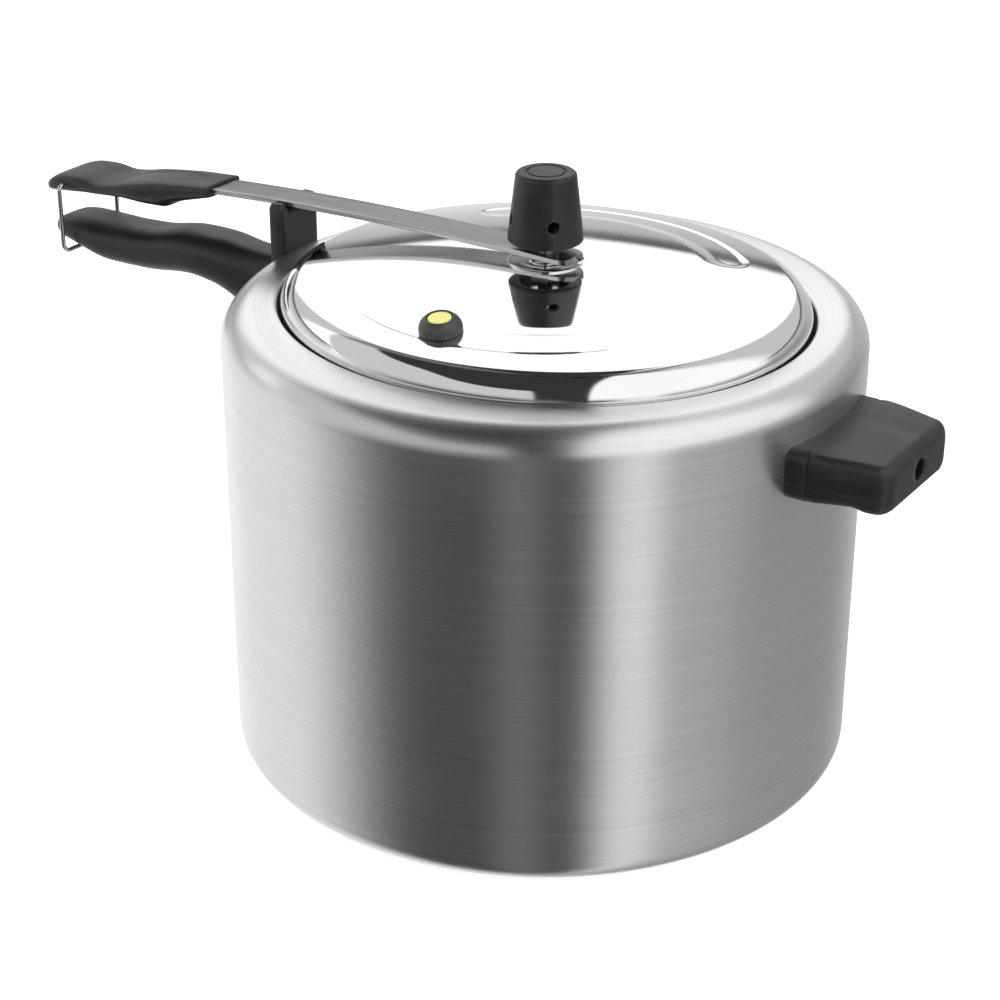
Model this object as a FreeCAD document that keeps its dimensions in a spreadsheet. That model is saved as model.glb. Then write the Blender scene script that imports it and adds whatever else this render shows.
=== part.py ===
import FreeCAD, Part
import math
import os
import Sketcher

Vector = FreeCAD.Vector
Rotation = FreeCAD.Rotation

# Pressure cooker with an oval internal lid that a sprung lever pulls up against the rim.
# Frame: origin at the centre of the pot's base, +Z up, long handle towards -X,
# side handle towards +X, safety plug towards -Y.  Millimetres.

doc = FreeCAD.newDocument("pressure_cooker")
sheet = doc.addObject("Spreadsheet::Sheet", "sizes")

DIMENSIONS = [
    # pot
    ("pot_radius", 130.0, "outside radius of the wall"),
    ("pot_height", 191.0, "base to the top of the flange"),
    ("wall", 2.5, "side wall"),
    ("base_thick", 3.5, "base"),
    ("flange_thick", 3.0, "turned-in flange round the opening"),
    ("shoulder_radius", 12.0, "outside bend from wall to flange"),
    ("foot_radius", 8.0, "outside bend from wall to base"),
    ("ledge_long", 19.9, "flange width on the oval opening's long axis (X)"),
    ("ledge_short", 27.9, "flange width on the oval opening's short axis (Y)"),
    # lid
    ("lid_gap", 2.5, "opening edge to the lid's upright wall"),
    ("lid_thick", 2.0, "lid sheet"),
    ("lid_shoulder_rise", 9.5, "top of the flange to the lid's crease"),
    ("lid_shoulder_run", 6.6, "lid wall in to the crease"),
    ("lid_dome_rise", 8.0, "crease to the flat centre"),
    ("lid_flat_radius", 10.0, "flat centre that carries the vent stem"),
    ("lid_rim_width", 9.4, "rim beyond the lid's wall, under the flange"),
    ("lid_lip_height", 2.2, "upturned edge that holds the gasket"),
    ("gasket_thick", 3.4, "gasket height"),
    ("gasket_width", 6.6, "gasket width"),
    ("seal_gap", 0.3, "gasket to the flange, without pressure"),
    ("kidney_margin", 10.0, "crease to the pressed panels, on the short axis"),
    ("kidney_width", 20.0, "width of the pressed panels"),
    ("kidney_half_angle", 46.0, "half of the arc that each panel spans"),
    ("kidney_depth", 0.6, "depth of the pressed panels"),
    # vent stem and weight
    ("stem_radius", 4.0, "threaded stem"),
    ("stem_bore", 1.5, "steam passage"),
    ("disc_radius", 15.0, "polished disc on the lid"),
    ("disc_thick", 0.6, "polished disc"),
    ("collar_radius", 5.6, "stem collar on the disc"),
    ("nut_radius", 6.3, "nut above the strap, across corners"),
    ("nut_height", 2.6, "nut above the strap"),
    ("strap_play", 1.1, "free play between strap and nut"),
    ("tip_radius", 3.0, "stem above the nut"),
    ("tip_height", 8.0, "stem above the nut"),
    ("weight_gap", 0.3, "nut to the weight, and tip to its seat"),
    ("weight_foot_radius", 15.15, "bottom of the weight"),
    ("weight_top_radius", 12.1, "top of the weight"),
    ("weight_height", 28.2, "weight"),
    ("weight_cavity", 10.4, "radius of the cap's bore"),
    ("weight_roof", 4.5, "cap above the core"),
    ("port_radius", 2.5, "steam ports in the cap"),
    ("port_height", 9.3, "bottom of the weight to the ports"),
    # safety plug
    ("plug_radius", 8.5, "rubber plug on the lid"),
    ("plug_height", 6.0, "rubber plug above the lid"),
    ("plug_neck", 3.6, "plug through the lid"),
    ("insert_radius", 4.7, "coloured insert"),
    # strap and its grip
    ("strap_width", 16.0, "steel strap"),
    ("strap_thick", 2.4, "steel strap"),
    ("strap_bow", 1838.0, "radius of the strap's underside"),
    ("strap_apex", 50.0, "lid centre out to the highest point of the strap"),
    ("strap_crown", 3.3, "lid top to the strap's underside at that point"),
    ("strap_lip_start", 11.0, "lid centre in to where the lip turns up"),
    ("grip_start", 34.0, "pot wall out to the grip"),
    ("grip_length", 94.0, "grip"),
    ("grip_half_width", 15.6, "grip, widest"),
    ("grip_nose_half_width", 12.0, "grip, at the strap"),
    ("fit_gap", 0.1, "strap in the grip's slot, all round"),
    # fulcrum post and long handle
    ("post_thick", 7.5, "fulcrum post along X"),
    ("post_half_width", 13.0, "fulcrum post across"),
    ("saddle_gap", 0.3, "strap to the post"),
    ("ear_rise", 2.3, "ears beside the strap, above the saddle"),
    ("handle_half_width", 16.0, "long handle, widest"),
    ("bracket_thick", 3.0, "handle brackets on the wall"),
    ("rivet_radius", 2.5, "rivet shank"),
    ("rivet_head", 4.5, "rivet head radius"),
    ("screw_radius", 2.5, "handle screws"),
    ("screw_head", 4.4, "handle screw head radius"),
    # bail
    ("wire_radius", 1.0, "bail wire"),
    ("bail_half_width", 18.4, "bail leg, centre to centre plane"),
    ("bail_drop", 30.5, "pivot to the wire across the bottom"),
    ("bail_pin", 7.0, "wire inside the grip, each side"),
    ("bail_top_bend", 2.2, "bend from pin to leg"),
    ("bail_foot_bend", 4.0, "bend from leg to cross wire"),
    ("pivot_out", 113.0, "pot wall out to the bail's pivot"),
    ("pivot_up", 9.0, "top of the flange up to the bail's pivot"),
    ("pivot_clearance", 0.08, "wire in its holes"),
    # side handle
    ("side_reach", 35.5, "pot wall out to the end of the side handle"),
    ("side_root_half_width", 33.0, "side handle at the wall"),
    ("side_end_half_width", 26.5, "side handle at the end"),
    ("side_top_drop", 21.0, "top of the flange down to the side handle"),
    ("side_depth", 21.0, "side handle, top to bottom"),
]
for row, (alias, value, note) in enumerate(DIMENSIONS, start=1):
    sheet.set("A%d" % row, alias)
    sheet.set("B%d" % row, str(value))
    sheet.set("C%d" % row, note)
    sheet.setAlias("B%d" % row, alias)

# Sizes that follow from the ones above, kept in the same sheet as formulas.
DERIVED = [
    ("open_long", "=pot_radius - ledge_long"),
    ("open_short", "=pot_radius - ledge_short"),
    ("lid_wall_radius", "=open_long - lid_gap"),
    ("lid_crease_radius", "=lid_wall_radius - lid_shoulder_run"),
    ("lid_rim_top", "=pot_height - flange_thick - seal_gap - gasket_thick"),
    ("lid_crease_z", "=pot_height + lid_shoulder_rise"),
    ("lid_top", "=lid_crease_z + lid_dome_rise"),
    ("oval", "=open_short / open_long"),
    ("dome_run", "=lid_crease_radius - lid_flat_radius"),
    ("dome_radius", "=(dome_run * dome_run + lid_dome_rise * lid_dome_rise) / (2 * lid_dome_rise)"),
    ("kidney_outer", "=lid_crease_radius * oval - kidney_margin"),
    ("kidney_inner", "=kidney_outer - kidney_width"),
    ("plug_y", "=kidney_outer - kidney_width / 2"),
    ("plug_fall", "=plug_y / oval - lid_flat_radius"),
    ("dome_centre_z", "=lid_top - dome_radius"),
    ("plug_rise", "=sqrt(dome_radius * dome_radius - plug_fall * plug_fall)"),
    ("plug_z", "=dome_centre_z + plug_rise - kidney_depth"),
    ("plug_tilt", "=atan(plug_fall / plug_rise / oval)"),
    ("strap_crown_z", "=lid_top + strap_crown"),
    ("bow_centre_z", "=strap_crown_z - strap_bow"),
    ("strap_z", "=bow_centre_z + sqrt(strap_bow * strap_bow - strap_apex * strap_apex)"),
    ("nut_z", "=strap_z + strap_thick + strap_play"),
    ("tip_z", "=nut_z + nut_height"),
    ("weight_z", "=tip_z + weight_gap"),
    ("fulcrum_x", "=0 - pot_radius + post_thick / 2"),
    ("fulcrum_run", "=0 - fulcrum_x - strap_apex"),
    ("fulcrum_reach", "=strap_bow - post_thick / 2 - saddle_gap"),
    ("fulcrum_z", "=bow_centre_z + sqrt(fulcrum_reach * fulcrum_reach - fulcrum_run * fulcrum_run)"),
    ("pivot_x", "=0 - pot_radius - pivot_out"),
    ("pivot_z", "=pot_height + pivot_up"),
    ("side_z", "=pot_height - side_top_drop - side_depth / 2"),
]
FIRST_DERIVED = len(DIMENSIONS) + 2
for row, (alias, formula) in enumerate(DERIVED, start=FIRST_DERIVED):
    sheet.set("A%d" % row, alias)
    sheet.set("B%d" % row, formula)
    sheet.setAlias("B%d" % row, alias)
doc.recompute()


def size(alias):
    """Value of one cell, for the few shapes that are worked out in code."""
    return float(sheet.get(alias))


def full(expression):
    """Put the sheet's name in front of every alias in an expression."""
    words = []
    word = ""
    for letter in expression + " ":
        if letter.isalnum() or letter == "_":
            word += letter
            continue
        if word in ALIASES:
            word = "sizes." + word
        words.append(word + letter)
        word = ""
    return "".join(words).strip()


ALIASES = {entry[0] for entry in DIMENSIONS} | {entry[0] for entry in DERIVED}


def value_of(expression):
    """Present value of an expression in the sheet's aliases."""
    return float(sheet.evalExpression(full(expression)))


def bind(item, **expressions):
    """Bind properties of an object to expressions in the sheet's aliases."""
    for prop, expression in expressions.items():
        item.setExpression(prop, full(expression))
    return item


def place(item, x="0", y="0", z="0", rotation=None):
    """Place an object, with its three coordinates bound to the sheet."""
    item.Placement = FreeCAD.Placement(Vector(), rotation or Rotation())
    for axis, expression in zip("xyz", (x, y, z)):
        item.setExpression("Placement.Base." + axis, full(expression))
    return item


ALONG_X = Rotation(Vector(0, 1, 0), 90)
ALONG_Y = Rotation(Vector(1, 0, 0), -90)


def cylinder(name, radius, length, x="0", y="0", z="0", rotation=None):
    rod = doc.addObject("Part::Cylinder", name)
    bind(rod, Radius=radius, Height=length)
    return place(rod, x, y, z, rotation)


def box(name, length, width, height, x, y, z):
    block = doc.addObject("Part::Box", name)
    bind(block, Length=length, Width=width, Height=height)
    return place(block, x, y, z)


def fuse(name, *pieces):
    joined = doc.addObject("Part::MultiFuse", name)
    joined.Shapes = list(pieces)
    joined.Refine = True
    return joined


def cut(name, base, *tools):
    """Base minus every tool."""
    result = doc.addObject("Part::Cut", name)
    result.Base = base
    result.Tool = tools[0] if len(tools) == 1 else fuse(name + "_tools", *tools)
    result.Refine = True
    return result


def common(name, first, second):
    result = doc.addObject("Part::Common", name)
    result.Base = first
    result.Tool = second
    result.Refine = True
    return result


def sketch_on(body, name, role, offset="0"):
    """Empty sketch on one of the body's own planes, moved along that plane's normal."""
    plane = [item for item in body.Origin.OriginFeatures if item.Role == role][0]
    sketch = body.newObject("Sketcher::SketchObject", name)
    sketch.AttachmentSupport = [(plane, "")]
    sketch.MapMode = "FlatFace"
    sketch.setExpression("AttachmentOffset.Base.z", full(offset))
    return sketch


def arc_edge(start, end, radius, left):
    """Arc between start and end, counter-clockwise, its centre left or right of the chord."""
    chord = end - start
    middle = (start + end) * 0.5
    normal = Vector(-chord.y, chord.x, 0)
    normal.normalize()
    height = max(radius * radius - chord.Length * chord.Length / 4, 0.0) ** 0.5
    centre = middle + normal * (height if left else -height)
    away = middle - centre
    if away.Length < 1e-6:
        away = normal * (-1 if left else 1)
    away.normalize()
    top = centre + away * radius
    return Part.Arc(start, top, end) if left else Part.Arc(end, top, start)


def outline(body, name, role, corners, arcs=None, offset="0"):
    """Closed outline through corners given as pairs of expressions.

    arcs maps the number of a corner to (radius, left): the edge from that corner to the
    next is an arc of that radius, its centre to the left of the way round or to the right.
    """
    arcs = arcs or {}
    sketch = sketch_on(body, name, role, offset)
    points = [Vector(value_of(x), value_of(y), 0) for x, y in corners]
    count = len(points)
    starts = []
    ends = []
    for number, start in enumerate(points):
        end = points[(number + 1) % count]
        if number in arcs:
            radius, left = arcs[number]
            arc = sketch.addGeometry(arc_edge(start, end, value_of(radius), left))
            starts.append((arc, 1 if left else 2))
            ends.append((arc, 2 if left else 1))
        else:
            line = sketch.addGeometry(Part.LineSegment(start, end))
            starts.append((line, 1))
            ends.append((line, 2))
    for number in range(count):
        following = starts[(number + 1) % count]
        sketch.addConstraint(Sketcher.Constraint("Coincident", *ends[number], *following))
    for number, (x, y) in enumerate(corners):
        for kind, expression, present in (("DistanceX", x, points[number].x),
                                          ("DistanceY", y, points[number].y)):
            made = sketch.addConstraint(Sketcher.Constraint(kind, -1, 1, *starts[number], present))
            sketch.setExpression("Constraints[%d]" % made, full(expression))
    for number, (radius, left) in arcs.items():
        edge = starts[number][0]
        made = sketch.addConstraint(Sketcher.Constraint("Radius", edge, value_of(radius)))
        sketch.setExpression("Constraints[%d]" % made, full(radius))
    return sketch


def turned(name, corners, arcs=None):
    """Body of revolution about Z, from an outline in radius and height."""
    body = doc.addObject("PartDesign::Body", name)
    revolution = body.newObject("PartDesign::Revolution", name + "_turn")
    revolution.Profile = outline(body, name + "_profile", "XZ_Plane", corners, arcs)
    revolution.ReferenceAxis = (revolution.Profile[0], ["V_Axis"])
    revolution.Angle = 360
    body.Tip = revolution
    return body


def side_slab(name, width, corners, arcs=None):
    """Side outline in X and Z, thickened by width about the centre plane."""
    body = doc.addObject("PartDesign::Body", name)
    pad = body.newObject("PartDesign::Pad", name + "_pad")
    pad.Profile = outline(body, name + "_side", "XZ_Plane", corners, arcs)
    pad.SideType = "Symmetric"
    bind(pad, Length=width)
    body.Tip = pad
    return body


def plan_slab(name, bottom, height, corners, arcs=None):
    """Plan outline in X and Y, raised by height from the level called bottom."""
    body = doc.addObject("PartDesign::Body", name)
    pad = body.newObject("PartDesign::Pad", name + "_pad")
    pad.Profile = outline(body, name + "_plan", "XY_Plane", corners, arcs, bottom)
    bind(pad, Length=height)
    body.Tip = pad
    return body


nodes = {}


def node(name, item):
    """Name a finished piece."""
    item.Label = name
    nodes[name] = item
    return item


# ---------------------------------------------------------------- pot body
def pot_profile(inset, floor, roof, shoulder, foot):
    """Corners and arcs of the pot's outside or inside, from the axis round to the axis."""
    radius = "pot_radius - (%s)" % inset
    corners = [
        ("0", floor),
        ("%s - (%s)" % (radius, foot), floor),
        (radius, "%s + %s" % (floor, foot)),
        (radius, "%s - (%s)" % (roof, shoulder)),
        ("%s - (%s)" % (radius, shoulder), roof),
        ("0", roof),
    ]
    return corners, {1: (foot, True), 3: (shoulder, True)}


pot_outside = turned("pot_outside", *pot_profile(
    "0", "0", "pot_height", "shoulder_radius", "foot_radius"))
pot_inside = turned("pot_inside", *pot_profile(
    "wall", "base_thick", "pot_height - flange_thick",
    "shoulder_radius - wall", "foot_radius - wall"))
opening_ring = doc.addObject("Part::Ellipse", "opening_ring")
bind(opening_ring, MajorRadius="open_long", MinorRadius="open_short")
place(opening_ring, z="pot_height - 2 * flange_thick")
pot_opening = doc.addObject("Part::Extrusion", "pot_opening")
pot_opening.Base = opening_ring
pot_opening.DirMode = "Custom"
pot_opening.Dir = Vector(0, 0, 1)
pot_opening.Solid = True
bind(pot_opening, LengthFwd="3 * flange_thick")

# ------------------------------------------------- brackets and their rivets
LONG_RIVETS = [("6.8", "pot_height - 33.5"), ("-6.8", "pot_height - 33.5")]
SIDE_RIVETS = [("16", "side_z"), ("-16", "side_z")]


def rivet_shanks(name, places, x):
    """Rivet shanks or their holes, all along X from the coordinate x outwards."""
    return [cylinder("%s_%d" % (name, n), "rivet_radius", "wall + bracket_thick + rivet_head",
                     x, y, z, ALONG_X) for n, (y, z) in enumerate(places)]


LONG_ROOT_X = "0 - pot_radius - bracket_thick - 1.5"
SIDE_ROOT_X = "pot_radius + bracket_thick + 1.5 - wall - bracket_thick - rivet_head"
holes = rivet_shanks("long_hole", LONG_RIVETS, LONG_ROOT_X)
holes += rivet_shanks("side_hole", SIDE_RIVETS, SIDE_ROOT_X)
node("pot_body", cut("pot_shell", pot_outside, pot_inside, pot_opening, *holes))


def rivets(name, places, shank_x, inner_head_x, outer_head_x):
    """Rivets with a round head inside the pot and a flat one on the bracket.

    The inner head is cut to the inside of the wall, so it sits on the curve.
    """
    pieces = []
    for number, (y, z) in enumerate(places):
        shank = cylinder("%s_shank_%d" % (name, number), "rivet_radius",
                         "wall + bracket_thick + rivet_head", shank_x, y, z, ALONG_X)
        inner = cylinder("%s_head_%d" % (name, number), "rivet_head",
                         "rivet_head + 0.1", inner_head_x, y, z, ALONG_X)
        seated = common("%s_seated_%d" % (name, number), inner, pot_inside)
        outer = cylinder("%s_set_%d" % (name, number), "rivet_head", "1.5",
                         outer_head_x, y, z, ALONG_X)
        pieces.append(fuse("%s_%d" % (name, number), shank, seated, outer))
    group = doc.addObject("Part::Compound", name + "_group")
    group.Links = pieces
    return group


node("long_handle_rivets", rivets(
    "long_rivet", LONG_RIVETS, LONG_ROOT_X, "0 - pot_radius",
    "0 - pot_radius - bracket_thick - 1.5"))
node("side_handle_rivets", rivets(
    "side_rivet", SIDE_RIVETS, SIDE_ROOT_X, "pot_radius - rivet_head - 0.1",
    "pot_radius + bracket_thick"))

# Long handle's bracket: a plate bent to the wall, with a tang that the handle slides over.
long_plate = box("long_plate", "bracket_thick + 6", "24", "26",
                 "0 - pot_radius - bracket_thick", "-12", "pot_height - 39")
long_tang = box("long_tang", "24", "11", "10",
                "0 - pot_radius - bracket_thick - 24", "-5.5", "pot_height - 25")
long_screw_hole = cylinder("long_screw_hole", "screw_radius", "40",
                           "0 - pot_radius - 17", "0", "pot_height - 50")
long_rivet_holes = rivet_shanks("long_plate_hole", LONG_RIVETS, LONG_ROOT_X)
node("long_handle_bracket", cut(
    "long_bracket", fuse("long_bracket_blank", long_plate, long_tang),
    pot_outside, long_screw_hole, *long_rivet_holes))

# Side handle's bracket: a plate bent to the wall, with a threaded boss.
side_plate = box("side_plate", "bracket_thick + 6", "44", "12",
                 "pot_radius - 6", "-22", "side_z - 6")
side_boss = cylinder("side_boss", "5", "bracket_thick + 9",
                     "pot_radius", "0", "side_z", ALONG_X)
side_screw_hole = cylinder("side_screw_hole", "screw_radius", "30",
                           "pot_radius + 1", "0", "side_z", ALONG_X)
side_rivet_holes = rivet_shanks("side_plate_hole", SIDE_RIVETS, SIDE_ROOT_X)
node("side_handle_bracket", cut(
    "side_bracket", fuse("side_bracket_blank", side_plate, side_boss),
    pot_outside, side_screw_hole, *side_rivet_holes))

# -------------------------------------------------------------- long handle
FULCRUM_FACE = "fulcrum_x + post_thick / 2"
EAR_TOP = "fulcrum_z + post_thick / 2 + ear_rise"
handle_side = side_slab("handle_side", "2 * handle_half_width", [
    ("pivot_x", "pot_height - 19.5"),
    ("0 - pot_radius - 122.5", "pot_height - 16.5"),
    ("0 - pot_radius - 126.5", "pot_height - 11.5"),
    ("0 - pot_radius - 118", "pot_height - 8.2"),
    ("0 - pot_radius - 95", "pot_height - 8.2"),
    ("0 - pot_radius - 52", "pot_height - 3.4"),
    ("0 - pot_radius - 22", "pot_height - 4.6"),
    ("0 - pot_radius", "pot_height - 3.5"),
    ("0 - pot_radius", EAR_TOP),
    (FULCRUM_FACE, EAR_TOP),
    (FULCRUM_FACE, "pot_height - 41"),
    ("0 - pot_radius - 8", "pot_height - 38"),
    ("0 - pot_radius - 33", "pot_height - 23.5"),
    ("0 - pot_radius - 46", "pot_height - 21.8"),
    ("0 - pot_radius - 90", "pot_height - 24.8"),
], {
    2: ("14", False),
    4: ("160", True),
    5: ("90", False),
    11: ("50", True),
    13: ("190", False),
})


def plan_both_sides(name, bottom, height, half, arcs=None):
    """Plan slab from half an outline: (x, half width) pairs, from the -X end to the +X end."""
    near = [(x, "0 - (%s)" % width) for x, width in half]
    far = [(x, width) for x, width in reversed(half)]
    mirrored = dict(arcs or {})
    for number, arc in (arcs or {}).items():
        mirrored[2 * len(half) - 2 - number] = arc
    return plan_slab(name, bottom, height, near + far, mirrored)


handle_plan = plan_both_sides("handle_plan", "pot_height - 60", "100", [
    ("0 - pot_radius - 127", "handle_half_width - 7"),
    ("0 - pot_radius - 122", "handle_half_width - 3"),
    ("0 - pot_radius - 95", "handle_half_width"),
    ("0 - pot_radius - 48", "handle_half_width"),
    ("0 - pot_radius - 12", "post_half_width"),
    (FULCRUM_FACE, "post_half_width"),
], {0: ("9", True), 1: ("130", True), 3: ("140", True)})
handle_blank = common("handle_blank", handle_side, handle_plan)

# The strap lies in a saddle with a round bottom, between two ears.
saddle_slot = box("saddle_slot", "post_thick + 2", "strap_width + 2 * saddle_gap", "ear_rise + 30",
                  "fulcrum_x - post_thick / 2 - 1", "0 - strap_width / 2 - saddle_gap", "fulcrum_z")
saddle_round = cylinder("saddle_round", "post_thick / 2", "strap_width + 2 * saddle_gap",
                        "fulcrum_x", "0 - strap_width / 2 - saddle_gap", "fulcrum_z", ALONG_Y)
handle_on_pot = cut("handle_on_pot", handle_blank, pot_outside, saddle_slot)
plate_pocket = box("plate_pocket", "bracket_thick + 8", "24", "26",
                   "0 - pot_radius - bracket_thick - 2", "-12", "pot_height - 39")
tang_pocket = box("tang_pocket", "30", "11", "10",
                  "0 - pot_radius - bracket_thick - 24", "-5.5", "pot_height - 25")
screw_way = cylinder("screw_way", "screw_radius", "21", "0 - pot_radius - 17", "0", "pot_height - 45")
screw_sink = cylinder("screw_sink", "screw_head", "18.5", "0 - pot_radius - 17", "0",
                      "pot_height - 46")
node("long_handle", cut(
    "handle_drilled", fuse("handle_with_saddle", handle_on_pot, saddle_round),
    plate_pocket, tang_pocket, screw_way, screw_sink))


def screw(name, x, y, z, head_height, length, rotation=None):
    """Round-headed screw whose head starts at the given point, its shank beyond the head."""
    turn = rotation or Rotation()
    head = cylinder(name + "_head", "screw_head", head_height, x, y, z, rotation)
    along = turn.multVec(Vector(0, 0, 1))
    ends = []
    for start, part in zip((x, y, z), along):
        step = "" if abs(part) < 0.5 else " %s %s" % ("+" if part > 0 else "-", head_height)
        ends.append(start + step)
    shank = cylinder(name + "_shank", "screw_radius", length, *ends, rotation)
    return fuse(name + "_solid", head, shank)


node("long_handle_screw", screw(
    "long_screw", "0 - pot_radius - 17", "0", "pot_height - 30.2", "2.7", "12"))

# -------------------------------------------------------------- side handle
SIDE_TOP = "pot_height - side_top_drop"
SIDE_FOOT = "pot_height - side_top_drop - side_depth"
SIDE_END = "pot_radius + side_reach"
side_profile = side_slab("side_profile", "2 * side_root_half_width + 4", [
    ("pot_radius - 8", SIDE_FOOT),
    ("pot_radius + 4", SIDE_FOOT),
    ("pot_radius + 6.5", SIDE_FOOT + " + 1.6"),
    ("pot_radius + 21", SIDE_FOOT + " + 1.8"),
    ("pot_radius + 27", SIDE_FOOT + " + 0.4"),
    (SIDE_END + " - 2", SIDE_FOOT + " + 0.4"),
    (SIDE_END, SIDE_FOOT + " + 2.4"),
    (SIDE_END, SIDE_TOP + " - 4.5"),
    (SIDE_END + " - 3", SIDE_TOP + " - 1.6"),
    ("pot_radius + 6", SIDE_TOP),
    ("pot_radius - 8", SIDE_TOP),
], {5: ("2", True), 7: ("3", True)})
side_plan = plan_both_sides("side_plan", "pot_height - 60", "60", [
    ("pot_radius - 12", "side_root_half_width"),
    ("pot_radius + 5", "side_root_half_width"),
    ("pot_radius + 7.5", "side_root_half_width - 1.5"),
    (SIDE_END + " - 6", "side_end_half_width"),
    (SIDE_END, "side_end_half_width - 6"),
], {3: ("6.2", True)})
side_pocket = box("side_pocket", "bracket_thick + 8", "44", "12",
                  "pot_radius - 6.5", "-22", "side_z - 6")
side_boss_way = cylinder("side_boss_way", "5", "bracket_thick + 9",
                         "pot_radius", "0", "side_z", ALONG_X)
side_screw_way = cylinder("side_screw_way", "screw_radius", "40",
                          "pot_radius", "0", "side_z", ALONG_X)
side_screw_sink = cylinder("side_screw_sink", "screw_head", "40",
                           SIDE_END + " - 17", "0", "side_z", ALONG_X)
node("side_handle", cut(
    "side_drilled", common("side_blank", side_profile, side_plan),
    pot_outside, side_pocket, side_boss_way, side_screw_way, side_screw_sink))
node("side_handle_screw", screw(
    "side_screw", SIDE_END + " - 14.3", "0", "side_z", "2.7", "15",
    Rotation(Vector(0, 1, 0), -90)))


# -------------------------------------------------------- strap and its grip
def bow_z(x, rise="0"):
    """Height of the strap's arc at x, its underside raised by rise."""
    run = "(%s + strap_apex)" % x
    return ("bow_centre_z + sqrt((strap_bow + %s) * (strap_bow + %s) - %s * %s)"
            % (rise, rise, run, run))


GRIP_X = "(0 - pot_radius - grip_start)"
STRAP_TAIL = "(0 - pot_radius - grip_start - grip_length + 30)"
TAIL_FALL = "10.4"
STRAP_TIP = "(strap_lip_start + 5.4)"


def strap_corners(clear):
    """Side outline of the strap, grown by clear above and below for the grip's slot."""
    low = "(0 - %s)" % clear
    high = "(strap_thick + %s)" % clear
    tail = "(%s - %s)" % (STRAP_TAIL, clear)
    return [
        (tail, bow_z(GRIP_X, low) + " - " + TAIL_FALL),
        (tail, bow_z(GRIP_X, high) + " - " + TAIL_FALL),
        (GRIP_X, bow_z(GRIP_X, high)),
        ("strap_lip_start - 1.2", bow_z("(strap_lip_start - 1.2)", high)),
        (STRAP_TIP, bow_z("(strap_lip_start - 1.2)", high) + " + 1.5"),
        (STRAP_TIP, bow_z("(strap_lip_start - 1.2)", low) + " + 1.5"),
        ("strap_lip_start", bow_z("strap_lip_start", low)),
        (GRIP_X, bow_z(GRIP_X, low)),
    ], {2: ("strap_bow + " + high, False), 6: ("strap_bow + " + low, True)}


strap_side = side_slab("strap_side", "strap_width", *strap_corners("0"))
# The strap's tip is rounded in plan.
strap_tip = cylinder("strap_tip", "strap_width / 2", "60",
                     STRAP_TIP + " - strap_width / 2", z="pot_height - 20")
strap_run = box("strap_run", "2 * pot_radius + grip_length", "strap_width", "60",
                STRAP_TIP + " - strap_width / 2 - 2 * pot_radius - grip_length",
                "0 - strap_width / 2", "pot_height - 20")
strap_blank = common("strap_blank", strap_side, fuse("strap_plan", strap_run, strap_tip))
strap_hole = cylinder("strap_hole", "stem_radius + 0.6", "20", z="lid_top - 5")
GRIP_SCREW_X = GRIP_X + " - 28"
strap_tap = cylinder("strap_tap", "2", "40", GRIP_SCREW_X, "0", "pot_height - 10")
node("strap", cut("strap_bar", strap_blank, strap_hole, strap_tap))

GRIP_LEVEL = "(" + bow_z(GRIP_X) + ")"
grip_side = side_slab("grip_side", "2 * grip_half_width", [
    (GRIP_X, GRIP_LEVEL + " - 1.6"),
    (GRIP_X + " - 14", GRIP_LEVEL + " - 5.2"),
    (GRIP_X + " - 28", GRIP_LEVEL + " - 11.4"),
    (GRIP_X + " - 33", GRIP_LEVEL + " - 11.2"),
    (GRIP_X + " - 48", GRIP_LEVEL + " - 9.8"),
    (GRIP_X + " - 80", GRIP_LEVEL + " - 12.6"),
    (GRIP_X + " - grip_length + 3", GRIP_LEVEL + " - 13.6"),
    (GRIP_X + " - grip_length", GRIP_LEVEL + " - 11"),
    (GRIP_X + " - grip_length + 14", GRIP_LEVEL + " - 2"),
    (GRIP_X + " - 62", GRIP_LEVEL + " - 3.9"),
    (GRIP_X + " - 44", GRIP_LEVEL + " - 2.2"),
    (GRIP_X, GRIP_LEVEL + " + 3.9"),
], {7: ("16", False), 8: ("34", False)})
grip_plan = plan_both_sides("grip_plan", "pot_height", "60", [
    (GRIP_X + " - grip_length", "grip_half_width - 5"),
    (GRIP_X + " - grip_length + 5", "grip_half_width"),
    (GRIP_X + " - 46", "grip_half_width"),
    (GRIP_X, "grip_nose_half_width"),
], {0: ("5.2", True)})
slot_side = side_slab("slot_side", "strap_width + 2 * fit_gap", *strap_corners("fit_gap"))
pivot_hole = cylinder("pivot_hole", "wire_radius + pivot_clearance", "4 * grip_half_width",
                      "pivot_x", "0 - 2 * grip_half_width", "pivot_z", ALONG_Y)
grip_screw_way = cylinder("grip_screw_way", "2", "40", GRIP_SCREW_X, "0", "pot_height - 10")
grip_screw_sink = cylinder("grip_screw_sink", "3.8", "22", GRIP_SCREW_X, "0",
                           GRIP_LEVEL + " - 4.4 - 3 - 22")
node("lid_grip", cut(
    "grip_drilled", common("grip_blank", grip_side, grip_plan),
    slot_side, pivot_hole, grip_screw_way, grip_screw_sink))
grip_screw_head = cylinder("grip_screw_head", "3.8", "2.2", GRIP_SCREW_X, "0",
                           GRIP_LEVEL + " - 4.4 - 3 - 2.2")
grip_screw_shank = cylinder("grip_screw_shank", "2", "7", GRIP_SCREW_X, "0",
                            GRIP_LEVEL + " - 4.4 - 3")
node("lid_grip_screw", fuse("grip_screw", grip_screw_head, grip_screw_shank))

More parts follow.
